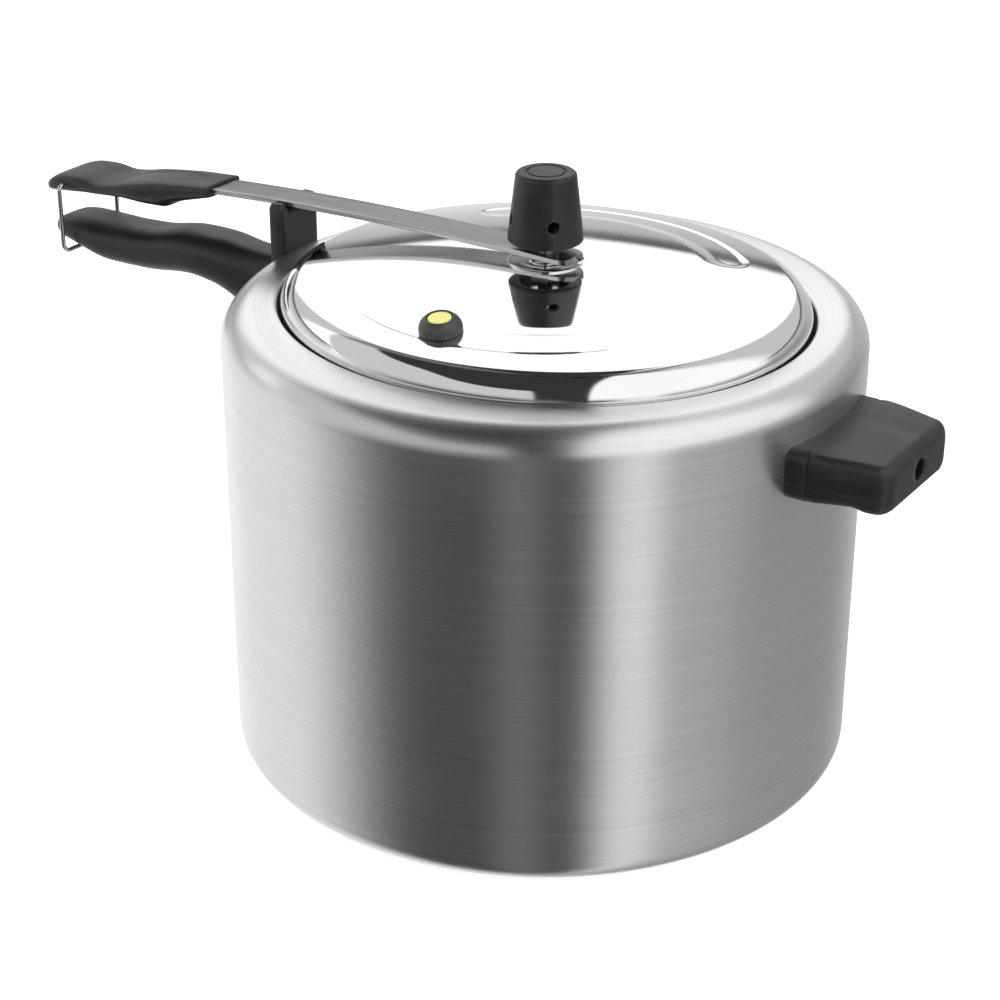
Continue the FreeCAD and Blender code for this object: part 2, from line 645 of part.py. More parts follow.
# -------------------------------------------------------------------- bail
def bent_wire(points, bends):
    """Straight runs through the points, joined by tangent arcs of the given radii."""
    edges = []
    start = points[0]
    for before, corner, after, bend in zip(points, points[1:], points[2:], bends):
        back = (before - corner).normalize()
        onward = (after - corner).normalize()
        half_turn = back.getAngle(onward) / 2
        reach = bend / math.tan(half_turn)
        inwards = (back + onward).normalize()
        arc_start = corner + back * reach
        arc_end = corner + onward * reach
        middle = corner + inwards * (bend / math.sin(half_turn) - bend)
        edges.append(Part.LineSegment(start, arc_start))
        edges.append(Part.Arc(arc_start, middle, arc_end))
        start = arc_end
    edges.append(Part.LineSegment(start, points[-1]))
    return edges


bail_body = doc.addObject("PartDesign::Body", "bail_wire")
bail_path = sketch_on(bail_body, "bail_path", "YZ_Plane", "pivot_x")
pin_end = size("grip_half_width") - size("bail_pin")
leg = size("bail_half_width")
top = size("pivot_z")
bottom = top - size("bail_drop")
wire_points = [Vector(-pin_end, top), Vector(-leg, top), Vector(-leg, bottom),
               Vector(leg, bottom), Vector(leg, top), Vector(pin_end, top)]
top_bend = size("bail_top_bend")
foot_bend = size("bail_foot_bend")
for edge in bent_wire(wire_points, [top_bend, foot_bend, foot_bend, top_bend]):
    bail_path.addGeometry(edge)
wire_section = sketch_on(bail_body, "wire_section", "XZ_Plane", "grip_half_width - bail_pin")
circle = wire_section.addGeometry(
    Part.Circle(Vector(size("pivot_x"), top), Vector(0, 0, 1), size("wire_radius")))
for kind, expression in (("DistanceX", "pivot_x"), ("DistanceY", "pivot_z")):
    made = wire_section.addConstraint(
        Sketcher.Constraint(kind, -1, 1, circle, 3, value_of(expression)))
    wire_section.setExpression("Constraints[%d]" % made, full(expression))
made = wire_section.addConstraint(Sketcher.Constraint("Radius", circle, size("wire_radius")))
wire_section.setExpression("Constraints[%d]" % made, full("wire_radius"))
bail_pipe = bail_body.newObject("PartDesign::AdditivePipe", "bail_pipe")
bail_pipe.Profile = wire_section
bail_pipe.Spine = bail_path
bail_body.Tip = bail_pipe
node("bail", bail_body)


# --------------------------------------------------------------------- lid
def lid_solid(name, inset, drop):
    """Solid under the lid's outer skin, moved in by inset and down by drop, made oval."""
    top_z = "(lid_top - %s - %s)" % (inset, drop)
    crease_z = "(lid_crease_z - %s - %s)" % (inset, drop)
    wall_radius = "(lid_wall_radius - %s)" % inset
    foot_z = "lid_rim_top - lid_thick - %s - 1" % drop
    blank = turned(name + "_blank", [
        ("0", foot_z),
        (wall_radius, foot_z),
        (wall_radius, "pot_height + 2 - " + drop),
        ("lid_crease_radius", crease_z),
        ("lid_flat_radius", top_z),
        ("0", top_z),
    ], {2: ("7.2", True), 3: ("dome_radius", True)})
    oval = doc.addObject("Part::Scale", name)
    oval.Base = blank
    oval.Uniform = False
    oval.XScale = 1
    oval.ZScale = 1
    bind(oval, YScale="oval")
    return oval


def kidney(name, grow, bottom, height):
    """Prism over one pressed panel on the -Y side and its mirror image on the +Y side."""
    inner = "(kidney_inner - %s)" % grow
    outer = "(kidney_outer + %s)" % grow
    cos = "cos((90 - kidney_half_angle) * 1deg)"
    sin = "sin((90 - kidney_half_angle) * 1deg)"
    front = plan_slab(name + "_front", bottom, height, [
        ("0 - %s * %s" % (outer, cos), "0 - %s * %s" % (outer, sin)),
        ("%s * %s" % (outer, cos), "0 - %s * %s" % (outer, sin)),
        ("%s * %s" % (inner, cos), "0 - %s * %s" % (inner, sin)),
        ("0 - %s * %s" % (inner, cos), "0 - %s * %s" % (inner, sin)),
    ], {
        0: (outer, True),
        1: ("(%s - %s) / 2 + 0.01" % (outer, inner), True),
        2: (inner, False),
        3: ("(%s - %s) / 2 + 0.01" % (outer, inner), True),
    })
    back = doc.addObject("Part::Mirroring", name + "_back")
    back.Source = front
    back.Normal = Vector(0, 1, 0)
    return fuse(name, front, back)


def tilt_on_dome(item, along="0"):
    """Stand an object square on the front panel where the plug goes, moved along its axis."""
    place(item, "0", "0 - plug_y - (%s) * sin(plug_tilt)" % along,
          "plug_z + (%s) * cos(plug_tilt)" % along, Rotation(Vector(1, 0, 0), 10))
    item.setExpression("Placement.Rotation.Angle", full("plug_tilt"))


lid_skin = lid_solid("lid_skin", "0", "0")
lid_skin_low = lid_solid("lid_skin_low", "0", "kidney_depth")
lid_core = lid_solid("lid_core", "lid_thick", "0")
lid_core_low = lid_solid("lid_core_low", "lid_thick", "kidney_depth")
panel_cut = cut("panel_cut", kidney("kidney_above", "0", "pot_height", "40"), lid_skin_low)
panel_keep = cut("panel_keep", kidney("kidney_below", "lid_thick / 2", "pot_height", "40"),
                 lid_core_low)
lid_upper = cut("lid_upper", lid_skin, panel_cut)
lid_hollow = cut("lid_hollow", lid_core, panel_keep)
RIM_OUTER = "(lid_wall_radius + lid_rim_width)"
lid_rim_round = turned("lid_rim_round", [
    ("lid_wall_radius - lid_thick", "lid_rim_top - lid_thick"),
    (RIM_OUTER, "lid_rim_top - lid_thick"),
    (RIM_OUTER, "lid_rim_top + lid_lip_height"),
    (RIM_OUTER + " - 1.6", "lid_rim_top + lid_lip_height"),
    (RIM_OUTER + " - 1.6", "lid_rim_top"),
    ("lid_wall_radius - lid_thick", "lid_rim_top"),
])
lid_rim = doc.addObject("Part::Scale", "lid_rim")
lid_rim.Base = lid_rim_round
lid_rim.Uniform = False
lid_rim.XScale = 1
lid_rim.ZScale = 1
bind(lid_rim, YScale="oval")
stem_hole = cylinder("stem_hole", "stem_radius", "30", z="lid_top - 20")
plug_hole = cylinder("plug_hole", "plug_neck", "30")
tilt_on_dome(plug_hole, "0 - 15")
lid_below = box("lid_below", "4 * pot_radius", "4 * pot_radius", "10",
                "0 - 2 * pot_radius", "0 - 2 * pot_radius", "lid_rim_top - lid_thick - 10")
node("lid", cut("lid_sheet", fuse("lid_whole", cut("lid_shell", lid_upper, lid_hollow, lid_below),
                                  lid_rim), stem_hole, plug_hole))

gasket_round = turned("gasket_round", [
    (RIM_OUTER + " - 1.7 - gasket_width", "lid_rim_top"),
    (RIM_OUTER + " - 1.7", "lid_rim_top"),
    (RIM_OUTER + " - 1.7", "lid_rim_top + gasket_thick - 1"),
    (RIM_OUTER + " - 2.7", "lid_rim_top + gasket_thick"),
    (RIM_OUTER + " - 0.7 - gasket_width", "lid_rim_top + gasket_thick"),
    (RIM_OUTER + " - 1.7 - gasket_width", "lid_rim_top + gasket_thick - 1"),
])
gasket = doc.addObject("Part::Scale", "gasket_ring")
gasket.Base = gasket_round
gasket.Uniform = False
gasket.XScale = 1
gasket.ZScale = 1
bind(gasket, YScale="oval")
node("gasket", gasket)

# ------------------------------------------------------ vent stem and weight
DISC_TOP = "lid_top + disc_thick"
node("lid_disc", turned("disc_turned", [
    ("stem_radius", "lid_top"),
    ("disc_radius", "lid_top"),
    ("disc_radius - 0.6", DISC_TOP),
    ("stem_radius", DISC_TOP),
]))
TIP_TOP = "(tip_z + tip_height)"
node("vent_stem", turned("stem_turned", [
    ("stem_bore", "lid_top - 16"),
    ("stem_radius", "lid_top - 16"),
    ("stem_radius", DISC_TOP),
    ("collar_radius", DISC_TOP),
    ("collar_radius", "strap_z - 1.3"),
    ("stem_radius", "strap_z - 1.3"),
    ("stem_radius", "tip_z"),
    ("tip_radius", "tip_z"),
    ("tip_radius", TIP_TOP + " - 1.6"),
    ("stem_bore + 0.3", TIP_TOP),
    ("stem_bore", TIP_TOP),
]))


def hex_nut(name, corner_radius, thread_radius, bottom, height):
    """Six-sided nut, its thread shown as a plain bore."""
    prism = doc.addObject("Part::Prism", name + "_prism")
    prism.Polygon = 6
    bind(prism, Circumradius=corner_radius, Height=height)
    place(prism, z=bottom)
    bore = cylinder(name + "_bore", thread_radius, height, z=bottom)
    return cut(name + "_nut", prism, bore)


node("strap_nut", hex_nut("strap", "nut_radius", "stem_radius", "nut_z", "nut_height"))
node("stem_seal", turned("seal_turned", [
    ("stem_radius", "lid_top - lid_thick - 1.2"),
    ("8", "lid_top - lid_thick - 1.2"),
    ("8", "lid_top - lid_thick"),
    ("stem_radius", "lid_top - lid_thick"),
]))
node("stem_nut", hex_nut("stem", "7.4", "stem_radius", "lid_top - lid_thick - 4.6", "3.4"))

# Filter cap screwed on the stem's lower end, with four slots for the steam.
filter_cup = turned("filter_cup", [
    ("0", "lid_top - 20"),
    ("6.4", "lid_top - 20"),
    ("6.4", "lid_top - lid_thick - 5.4"),
    ("stem_radius", "lid_top - lid_thick - 5.4"),
    ("stem_radius", "lid_top - lid_thick - 8.4"),
    ("5.2", "lid_top - lid_thick - 8.4"),
    ("5.2", "lid_top - 19"),
    ("0", "lid_top - 19"),
])
slots = [
    box("filter_slot_x", "20", "1.6", "5", "0 - 10", "0 - 0.8", "lid_top - 17.5"),
    box("filter_slot_y", "1.6", "20", "5", "0 - 0.8", "0 - 10", "lid_top - 17.5"),
]
node("vent_filter", cut("filter_slotted", filter_cup, *slots))

CAP_TOP = "(weight_z + weight_height)"
cap_turned = turned("cap_turned", [
    ("weight_cavity", "weight_z"),
    ("weight_foot_radius - 0.8", "weight_z"),
    ("weight_foot_radius", "weight_z + 1"),
    ("weight_top_radius + 0.2", CAP_TOP + " - 1.9"),
    ("weight_top_radius - 1.9", CAP_TOP),
    ("0", CAP_TOP),
    ("0", CAP_TOP + " - weight_roof"),
    ("weight_cavity", CAP_TOP + " - weight_roof"),
], {3: ("2.3", True)})
ports = []
for quarter in range(4):
    turn = Rotation(Vector(0, 0, 1), 45 + 90 * quarter).multiply(ALONG_X)
    ports.append(cylinder("port_%d" % quarter, "port_radius", "2 * weight_foot_radius",
                          z="weight_z + port_height", rotation=turn))
node("weight_cap", cut("cap_ported", cap_turned, *ports))
SEAT_Z = "(" + TIP_TOP + " - 3.2)"
node("weight_core", turned("core_turned", [
    ("tip_radius + weight_gap", SEAT_Z),
    ("tip_radius + 2.6", SEAT_Z),
    ("tip_radius + 2.6", "weight_z + port_height + 4.4"),
    ("weight_cavity", "weight_z + port_height + 4.4"),
    ("weight_cavity", CAP_TOP + " - weight_roof"),
    ("0", CAP_TOP + " - weight_roof"),
    ("0", TIP_TOP + " + weight_gap"),
    ("stem_bore + 0.3 + weight_gap", TIP_TOP + " + weight_gap"),
    ("tip_radius + weight_gap", TIP_TOP + " - 1.6 + weight_gap"),
]))

# ------------------------------------------------------------- safety plug
plug_turned = turned("plug_turned", [
    ("0", "0 - 7"),
    ("5", "0 - 7"),
    ("6.4", "0 - lid_thick - 1.4"),
    ("6.4", "0 - lid_thick - 0.1"),
    ("plug_neck", "0 - lid_thick - 0.1"),
    ("plug_neck", "0"),
    ("plug_radius", "0"),
    ("plug_radius", "1.3"),
    ("insert_radius + 0.9", "plug_height"),
    ("insert_radius", "plug_height"),
    ("insert_radius", "plug_height - 1.4"),
    ("0", "plug_height - 1.4"),
], {7: ("7", True)})
insert_turned = turned("insert_turned", [
    ("0", "plug_height - 1.4"),
    ("insert_radius", "plug_height - 1.4"),
    ("insert_radius", "plug_height - 0.6"),
    ("insert_radius - 0.8", "plug_height - 0.2"),
    ("0", "plug_height - 0.2"),
])
for part in (plug_turned, insert_turned):
    tilt_on_dome(part)
node("safety_plug", plug_turned)
node("safety_insert", insert_turned)

# ------------------------------------------------------------ check and write
doc.recompute()
for item in doc.Objects:
    if "Invalid" in item.State or "Error" in item.State:
        raise RuntimeError("%s failed: %s" % (item.Name, item.State))
os.makedirs("parts", exist_ok=True)
for name, item in nodes.items():
    shape = item.Shape
    if shape.isNull() or not shape.isValid() or not shape.Solids:
        raise RuntimeError("%s has no valid solid" % name)
    print("%-22s solids %d  volume %.0f" % (name, len(shape.Solids), shape.Volume))
    shape.exportStep("parts/%s.step" % name)
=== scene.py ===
"""Visual model of an internal-lid pressure cooker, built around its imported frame.

Metres, in the frame's own axes: +Z up, long handle towards -X, side handle towards +X.
"""
import math

import bpy
import numpy as np
from mathutils import Matrix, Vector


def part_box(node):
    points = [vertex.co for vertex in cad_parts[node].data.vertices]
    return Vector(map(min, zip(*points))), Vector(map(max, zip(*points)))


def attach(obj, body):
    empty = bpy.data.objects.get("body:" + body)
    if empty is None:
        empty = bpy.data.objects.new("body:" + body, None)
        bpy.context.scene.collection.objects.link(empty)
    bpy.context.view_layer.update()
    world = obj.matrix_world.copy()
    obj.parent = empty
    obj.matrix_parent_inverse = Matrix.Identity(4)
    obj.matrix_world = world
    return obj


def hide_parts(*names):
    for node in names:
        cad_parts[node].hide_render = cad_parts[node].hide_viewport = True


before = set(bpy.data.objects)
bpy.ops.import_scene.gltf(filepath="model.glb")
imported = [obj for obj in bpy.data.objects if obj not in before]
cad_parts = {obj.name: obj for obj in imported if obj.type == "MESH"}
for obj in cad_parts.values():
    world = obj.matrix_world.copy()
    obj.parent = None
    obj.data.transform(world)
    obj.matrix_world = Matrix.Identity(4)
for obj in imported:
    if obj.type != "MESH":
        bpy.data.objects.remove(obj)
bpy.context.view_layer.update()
MM = 0.001


# ---------------------------------------------------------------- pot body
# Deep-drawn aluminium pot, its flange turned in to an oval opening.  The outside is
# brushed on a lathe, so every scratch runs round the pot, and on the flange round the rim.
def skin(name, rings, closed=False, run=None):
    """Mesh through rings of points: point k of each ring joins point k of the next.

    rings is an array (ring, point, 3).  A ring whose points coincide becomes one pole.
    closed joins the last ring to the first.  run, one number for each ring, is stored as
    the attribute "run" for patterns that follow the profile.
    """
    count, around = rings.shape[:2]
    numbers = np.arange(count * around).reshape(count, around)
    poles = np.ptp(rings, axis=1).max(axis=1) < 1e-9
    numbers[poles] = numbers[poles][:, :1]
    following = np.roll(numbers, -1, axis=0) if closed else numbers[1:]
    here = numbers if closed else numbers[:-1]
    quads = np.stack([here, np.roll(here, -1, axis=1), np.roll(following, -1, axis=1),
                      following], axis=-1).reshape(-1, 4)
    start_pole = quads[:, 0] == quads[:, 1]
    end_pole = quads[:, 2] == quads[:, 3]
    used, compact = np.unique(quads, return_inverse=True)
    quads = compact.reshape(-1, 4)
    faces = quads[~(start_pole | end_pole)].tolist()
    faces += quads[start_pole & ~end_pole][:, [0, 2, 3]].tolist()
    faces += quads[end_pole & ~start_pole][:, [0, 1, 2]].tolist()
    mesh = bpy.data.meshes.new(name)
    mesh.from_pydata(rings.reshape(-1, 3)[used].tolist(), [], faces)
    mesh.polygons.foreach_set("use_smooth", [True] * len(mesh.polygons))
    if run is not None:
        values = np.repeat(np.asarray(run, float), around)[used]
        layer = mesh.attributes.new("run", "FLOAT", "POINT")
        layer.data.foreach_set("value", values.astype(np.float32))
    mesh.update()
    piece = bpy.data.objects.new(name, mesh)
    bpy.context.scene.collection.objects.link(piece)
    return piece


def bend(centre, radius, start, end, steps):
    """Points of a flat arc: centre + radius * (cos a, sin a), with a in degrees."""
    angle = np.radians(np.linspace(start, end, steps))
    return np.stack([centre[0] + radius * np.cos(angle), centre[1] + radius * np.sin(angle)],
                    axis=1)


def straight(start, end, steps):
    """Evenly spaced points from start to end, without the end."""
    share = np.linspace(0, 1, steps, endpoint=False)[:, None]
    return np.asarray(start) * (1 - share) + np.asarray(end) * share


def arc_length(profile):
    """Distance along a profile up to each of its points."""
    return np.concatenate([[0], np.cumsum(np.linalg.norm(np.diff(profile, axis=0), axis=1))])


def around(count):
    """Cosine and sine of count even steps round a circle."""
    turn = np.linspace(0, 2 * np.pi, count, endpoint=False)
    return np.cos(turn), np.sin(turn)


POT_RADIUS = 0.130
POT_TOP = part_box("pot_body")[1].z
WALL = 2.5 * MM
BASE = 3.5 * MM
FLANGE = 3.0 * MM
SHOULDER = 12.0 * MM
FOOT = 8.0 * MM
OPEN_LONG = POT_RADIUS - 19.9 * MM
OPEN_SHORT = POT_RADIUS - 27.9 * MM
EDGE = 1.2 * MM
crest = POT_RADIUS - SHOULDER

outside = np.concatenate([
    straight((0, 0), (POT_RADIUS - FOOT, 0), 14),
    bend((POT_RADIUS - FOOT, FOOT), FOOT, -90, 0, 12)[:-1],
    straight((POT_RADIUS, FOOT), (POT_RADIUS, POT_TOP - SHOULDER), 24),
    bend((crest, POT_TOP - SHOULDER), SHOULDER, 0, 90, 18),
])
inside = np.concatenate([
    bend((crest, POT_TOP - SHOULDER), SHOULDER - FLANGE, 90, 0, 12)[:-1],
    straight((POT_RADIUS - WALL, POT_TOP - SHOULDER), (POT_RADIUS - WALL, FOOT), 12),
    bend((POT_RADIUS - FOOT, FOOT + BASE - WALL), FOOT - WALL, 0, -90, 10),
    straight((POT_RADIUS - FOOT - 1 * MM, BASE), (0, BASE), 10),
    [(0, BASE)],
])
# The flange runs from the round crest (share 0) to the oval opening (share 1), where its
# edge is rolled over; edge_out is how far a point stands beyond the opening's edge.
flange_share = np.concatenate([np.linspace(0, 1, 12)[1:], np.ones(9), np.linspace(1, 0, 8)[:-1]])
edge_turn = np.radians(np.linspace(90, -90, 9))
edge_out = np.concatenate([np.full(11, EDGE), EDGE * (1 - np.cos(edge_turn)), np.full(7, EDGE)])
edge_fall = np.concatenate([np.zeros(11), FLANGE / 2 * (1 - np.sin(edge_turn)), np.full(7, FLANGE)])

cos_pot, sin_pot = around(288)


def lathe(profile, cosine, sine, oval=1.0):
    """Rings of a turned profile; oval squeezes them across the handles."""
    radius = profile[:, :1]
    height = np.repeat(profile[:, 1:], len(cosine), axis=1)
    return np.stack([radius * cosine, radius * sine * oval, height], axis=-1)


long_axis = (crest + (OPEN_LONG - crest) * flange_share + edge_out * flange_share)[:, None]
short_axis = (crest + (OPEN_SHORT - crest) * flange_share + edge_out * flange_share)[:, None]
flange_height = np.repeat((POT_TOP - edge_fall)[:, None], len(cos_pot), axis=1)
flange = np.stack([long_axis * cos_pot, short_axis * sin_pot, flange_height], axis=-1)
pot_rings = np.concatenate([lathe(outside, cos_pot, sin_pot), flange,
                            lathe(inside, cos_pot, sin_pot)])
pot_line = np.stack([pot_rings[:, 0, 0], pot_rings[:, 0, 2]], axis=1)
pot = skin("pot", pot_rings, run=arc_length(pot_line))


class Finish:
    """A node material with short calls for the textures that every finish needs."""

    def __init__(self, name, colour, metal, rough, others=None):
        self.material = bpy.data.materials.new(name)
        self.material.use_nodes = True
        self.tree = self.material.node_tree
        self.shader = self.tree.nodes["Principled BSDF"]
        self.shader.inputs["Base Color"].default_value = (*colour, 1)
        self.shader.inputs["Metallic"].default_value = metal
        self.shader.inputs["Roughness"].default_value = rough
        for socket, value in (others or {}).items():
            self.shader.inputs[socket].default_value = value
        self.place = self.add("ShaderNodeTexCoord").outputs["Object"]
        self.height = None

    def add(self, kind, **settings):
        made = self.tree.nodes.new(kind)
        for setting, value in settings.items():
            setattr(made, setting, value)
        return made

    def join(self, source, target):
        self.tree.links.new(source, target)

    def number(self, operation, first, second=0.0, third=0.0):
        """Math node on numbers or sockets."""
        made = self.add("ShaderNodeMath", operation=operation)
        for place, value in enumerate((first, second, third)):
            if isinstance(value, (int, float)):
                made.inputs[place].default_value = value
            else:
                self.join(value, made.inputs[place])
        return made.outputs[0]

    def stretched(self, scale, vector=None):
        """Object coordinates, or the given vector, stretched by a scale for each axis."""
        made = self.add("ShaderNodeMapping")
        made.inputs["Scale"].default_value = scale
        self.join(vector or self.place, made.inputs["Vector"])
        return made.outputs["Vector"]

    def noise(self, vector, size, detail=4.0, rough=0.55):
        made = self.add("ShaderNodeTexNoise")
        made.inputs["Scale"].default_value = size
        made.inputs["Detail"].default_value = detail
        made.inputs["Roughness"].default_value = rough
        self.join(vector, made.inputs["Vector"])
        return made.outputs["Fac"]

    def spread(self, value, low, high, source_low=0.3, source_high=0.7):
        """Carry a value from its own range to low..high."""
        made = self.add("ShaderNodeMapRange")
        for socket, number in (("From Min", source_low), ("From Max", source_high),
                               ("To Min", low), ("To Max", high)):
            made.inputs[socket].default_value = number
        self.join(value, made.inputs["Value"])
        return made.outputs["Result"]

    def tint(self, value, low_colour, high_colour, low=0.3, high=0.7):
        """Base colour blended between two colours by a value."""
        ramp = self.add("ShaderNodeValToRGB")
        ramp.color_ramp.elements[0].position = low
        ramp.color_ramp.elements[0].color = (*low_colour, 1)
        ramp.color_ramp.elements[1].position = high
        ramp.color_ramp.elements[1].color = (*high_colour, 1)
        self.join(value, ramp.inputs["Fac"])
        self.join(ramp.outputs["Color"], self.shader.inputs["Base Color"])

    def rough(self, value, low, high, source_low=0.3, source_high=0.7):
        self.join(self.spread(value, low, high, source_low, source_high),
                  self.shader.inputs["Roughness"])

    def relief(self, value, depth):
        """Add a bump of the given depth in metres on top of the ones already there."""
        made = self.add("ShaderNodeBump")
        made.inputs["Strength"].default_value = 1.0
        made.inputs["Distance"].default_value = depth
        self.join(value, made.inputs["Height"])
        if self.height is not None:
            self.join(self.height, made.inputs["Normal"])
        self.height = made.outputs["Normal"]
        self.join(self.height, self.shader.inputs["Normal"])


def combined(finish, x, y, z):
    """Vector made of three numbers or sockets."""
    made = finish.add("ShaderNodeCombineXYZ")
    for socket, value in zip(made.inputs, (x, y, z)):
        finish.join(value, socket)
    return made.outputs["Vector"]


def brushed_round(name, colour, rough_low, rough_high, streak):
    """Metal brushed on a lathe: fine noise across the profile, drawn out round the axis."""
    finish = Finish(name, colour, 1.0, rough_low,
                    {"Anisotropic": 0.72, "Anisotropic Rotation": 0.25})
    run = finish.add("ShaderNodeAttribute", attribute_name="run").outputs["Fac"]
    split = finish.add("ShaderNodeSeparateXYZ")
    finish.join(finish.place, split.inputs["Vector"])
    across = combined(finish, split.outputs["X"], split.outputs["Y"], run)
    fine = finish.noise(finish.stretched((4, 4, 3600), across), 1.0, 3.0, 0.6)
    broad = finish.noise(finish.stretched((7, 7, 700), across), 1.0, 3.0, 0.5)
    cloud = finish.noise(finish.place, 11.0, 3.0)
    mixed = finish.number("MULTIPLY_ADD", fine, 0.6, finish.number("MULTIPLY", broad, 0.4))
    finish.tint(mixed, tuple(part * (1 - streak) for part in colour), colour, 0.38, 0.58)
    finish.rough(finish.number("MULTIPLY_ADD", cloud, 0.5, finish.number("MULTIPLY", mixed, 0.5)),
                 rough_low, rough_high)
    finish.relief(fine, 0.003 * MM)
    tangent = finish.add("ShaderNodeTangent", direction_type="RADIAL", axis="Z")
    finish.join(tangent.outputs["Tangent"], finish.shader.inputs["Tangent"])
    return finish.material


ALUMINIUM = (0.885, 0.88, 0.87)
brushed_aluminium = brushed_round("brushed_aluminium", ALUMINIUM, 0.26, 0.34, 0.10)
pot.data.materials.append(brushed_aluminium)
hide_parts("pot_body")
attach(pot, "pot")


# ------------------------------------------------ brackets, rivets and screws
# Cast aluminium brackets riveted through the wall, and zinc-plated screws that draw the
# handles on to them.  Only the rivets' round heads and the screws in their holes show.
def dress(finish, *names):
    """Give the frame's own nodes a finish."""
    for name in names:
        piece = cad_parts[name]
        if not piece.material_slots:
            piece.data.materials.append(finish)
        for place in piece.material_slots:
            place.material = finish


def plated(name, colour, rough_low, rough_high, size=900.0):
    """Plated or cast metal: small pits in the bump, and uneven roughness."""
    finish = Finish(name, colour, 1.0, rough_low)
    grain = finish.noise(finish.place, size, 4.0, 0.6)
    patch = finish.noise(finish.place, size * 0.12, 3.0)
    finish.tint(patch, tuple(part * 0.82 for part in colour), colour)
    finish.rough(patch, rough_low, rough_high)
    finish.relief(grain, 0.012 * MM)
    return finish.material


cast_aluminium = plated("cast_aluminium", (0.70, 0.70, 0.69), 0.38, 0.55)
rivet_aluminium = plated("rivet_aluminium", (0.80, 0.80, 0.79), 0.22, 0.36, 500.0)
zinc_plate = plated("zinc_plate", (0.72, 0.73, 0.75), 0.2, 0.34, 600.0)
dress(cast_aluminium, "long_handle_bracket", "side_handle_bracket")
dress(rivet_aluminium, "long_handle_rivets", "side_handle_rivets")
dress(zinc_plate, "long_handle_screw", "side_handle_screw", "lid_grip_screw",
      "strap_nut", "stem_nut", "vent_filter")


# -------------------------------------------------------------- long handle
# Moulded black phenolic: a grip that swells in the hand, narrows to a root on the pot's
# wall, and carries the fulcrum post with its round saddle and two ears for the strap.
def eased(stations, values, at):
    """Smooth curve through stations: piecewise cubic with slopes that never overshoot."""
    stations = np.asarray(stations, float)
    values = np.asarray(values, float)
    step = np.diff(stations)
    slope = np.diff(values) / step
    inner = np.where(slope[:-1] * slope[1:] > 0,
                     2 * slope[:-1] * slope[1:] / (slope[:-1] + slope[1:] + 1e-12), 0.0)
    slopes = np.concatenate([slope[:1], inner, slope[-1:]])
    place = np.clip(np.searchsorted(stations, at, side="right") - 1, 0, len(step) - 1)
    share = (at - stations[place]) / step[place]
    return (values[place] * (1 + 2 * share) * (1 - share) ** 2
            + values[place + 1] * share ** 2 * (3 - 2 * share)
            + step[place] * share * (1 - share) * (slopes[place] * (1 - share)
                                                   - slopes[place + 1] * share))


def superellipse(power, count):
    """Cosine and sine bent towards a rounded square: sign(c) * |c| ** (2 / power)."""
    cosine, sine = around(count)
    power = np.asarray(power, float)[..., None]
    return (np.sign(cosine) * np.abs(cosine) ** (2 / power),
            np.sign(sine) * np.abs(sine) ** (2 / power))


def joined(name, pieces):
    """One object from several overlapping closed shells."""
    bpy.ops.object.select_all(action="DESELECT")
    for piece in pieces:
        piece.select_set(True)
    bpy.context.view_layer.objects.active = pieces[0]
    bpy.ops.object.join()
    pieces[0].name = name
    pieces[0].data.name = name
    bpy.ops.object.select_all(action="DESELECT")
    return pieces[0]


def applied(piece):
    """Replace a piece's mesh by the result of its modifiers."""
    graph = bpy.context.evaluated_depsgraph_get()
    mesh = bpy.data.meshes.new_from_object(piece.evaluated_get(graph))
    piece.modifiers.clear()
    piece.data = mesh
    mesh.polygons.foreach_set("use_smooth", [True] * len(mesh.polygons))
    return piece


def carved(piece, *cutters):
    """Take closed cutter meshes away from a piece."""
    for cutter in cutters:
        modifier = piece.modifiers.new("carve", "BOOLEAN")
        modifier.operation = "DIFFERENCE"
        modifier.solver = "EXACT"
        modifier.object = cutter
        applied(piece)
        bpy.data.objects.remove(cutter)
    return piece


TAIL_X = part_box("long_handle")[0].x + 0.3 * MM
TAIL_ROUND = 6 * MM
GRIP_COUNT = 96
ROOT_X = -POT_RADIUS + 1.2 * MM
H = POT_TOP
grip_x = np.concatenate([
    TAIL_X + TAIL_ROUND * (1 - np.cos(np.linspace(0, np.pi / 2, 10)))[:-1],
    np.linspace(TAIL_X + TAIL_ROUND, ROOT_X, 70),
])
handle_top = eased(np.array([-256.2, -250, -243, -225, -205, -182, -165, -150, -138, -128]) * MM,
                   H + np.array([-10.8, -8.6, -8.3, -8.3, -7.3, -3.6, -3.2, -4.4, -4.9, -4.6]) * MM,
                   grip_x)
handle_foot = eased(np.array([-256.2, -250, -243, -220, -200, -176, -163, -150, -138, -128]) * MM,
                    H + np.array([-13.0, -17.6, -19.4, -24.6, -24.2, -21.9, -24.0, -30.2, -37.6,
                                  -41.4]) * MM,
                    grip_x)
handle_half = eased(np.array([-256.2, -252, -246, -225, -200, -178, -142, -128]) * MM,
                    np.array([6.6, 11.8, 14.3, 15.9, 15.9, 15.6, 13.1, 12.9]) * MM, grip_x)
cos_grip, sin_grip = superellipse(2.7, GRIP_COUNT)
mid = (handle_top + handle_foot) / 2
deep = (handle_top - handle_foot) / 2
grip_rings = np.stack([np.repeat(grip_x[:, None], GRIP_COUNT, axis=1),
                       handle_half[:, None] * cos_grip,
                       mid[:, None] + deep[:, None] * sin_grip], axis=-1)


def capped(rings):
    """Rings with a pole at both ends, each in the middle of the end ring."""
    first = np.repeat(rings[:1].mean(axis=1, keepdims=True), rings.shape[1], axis=1)
    last = np.repeat(rings[-1:].mean(axis=1, keepdims=True), rings.shape[1], axis=1)
    return np.concatenate([first, rings, last])


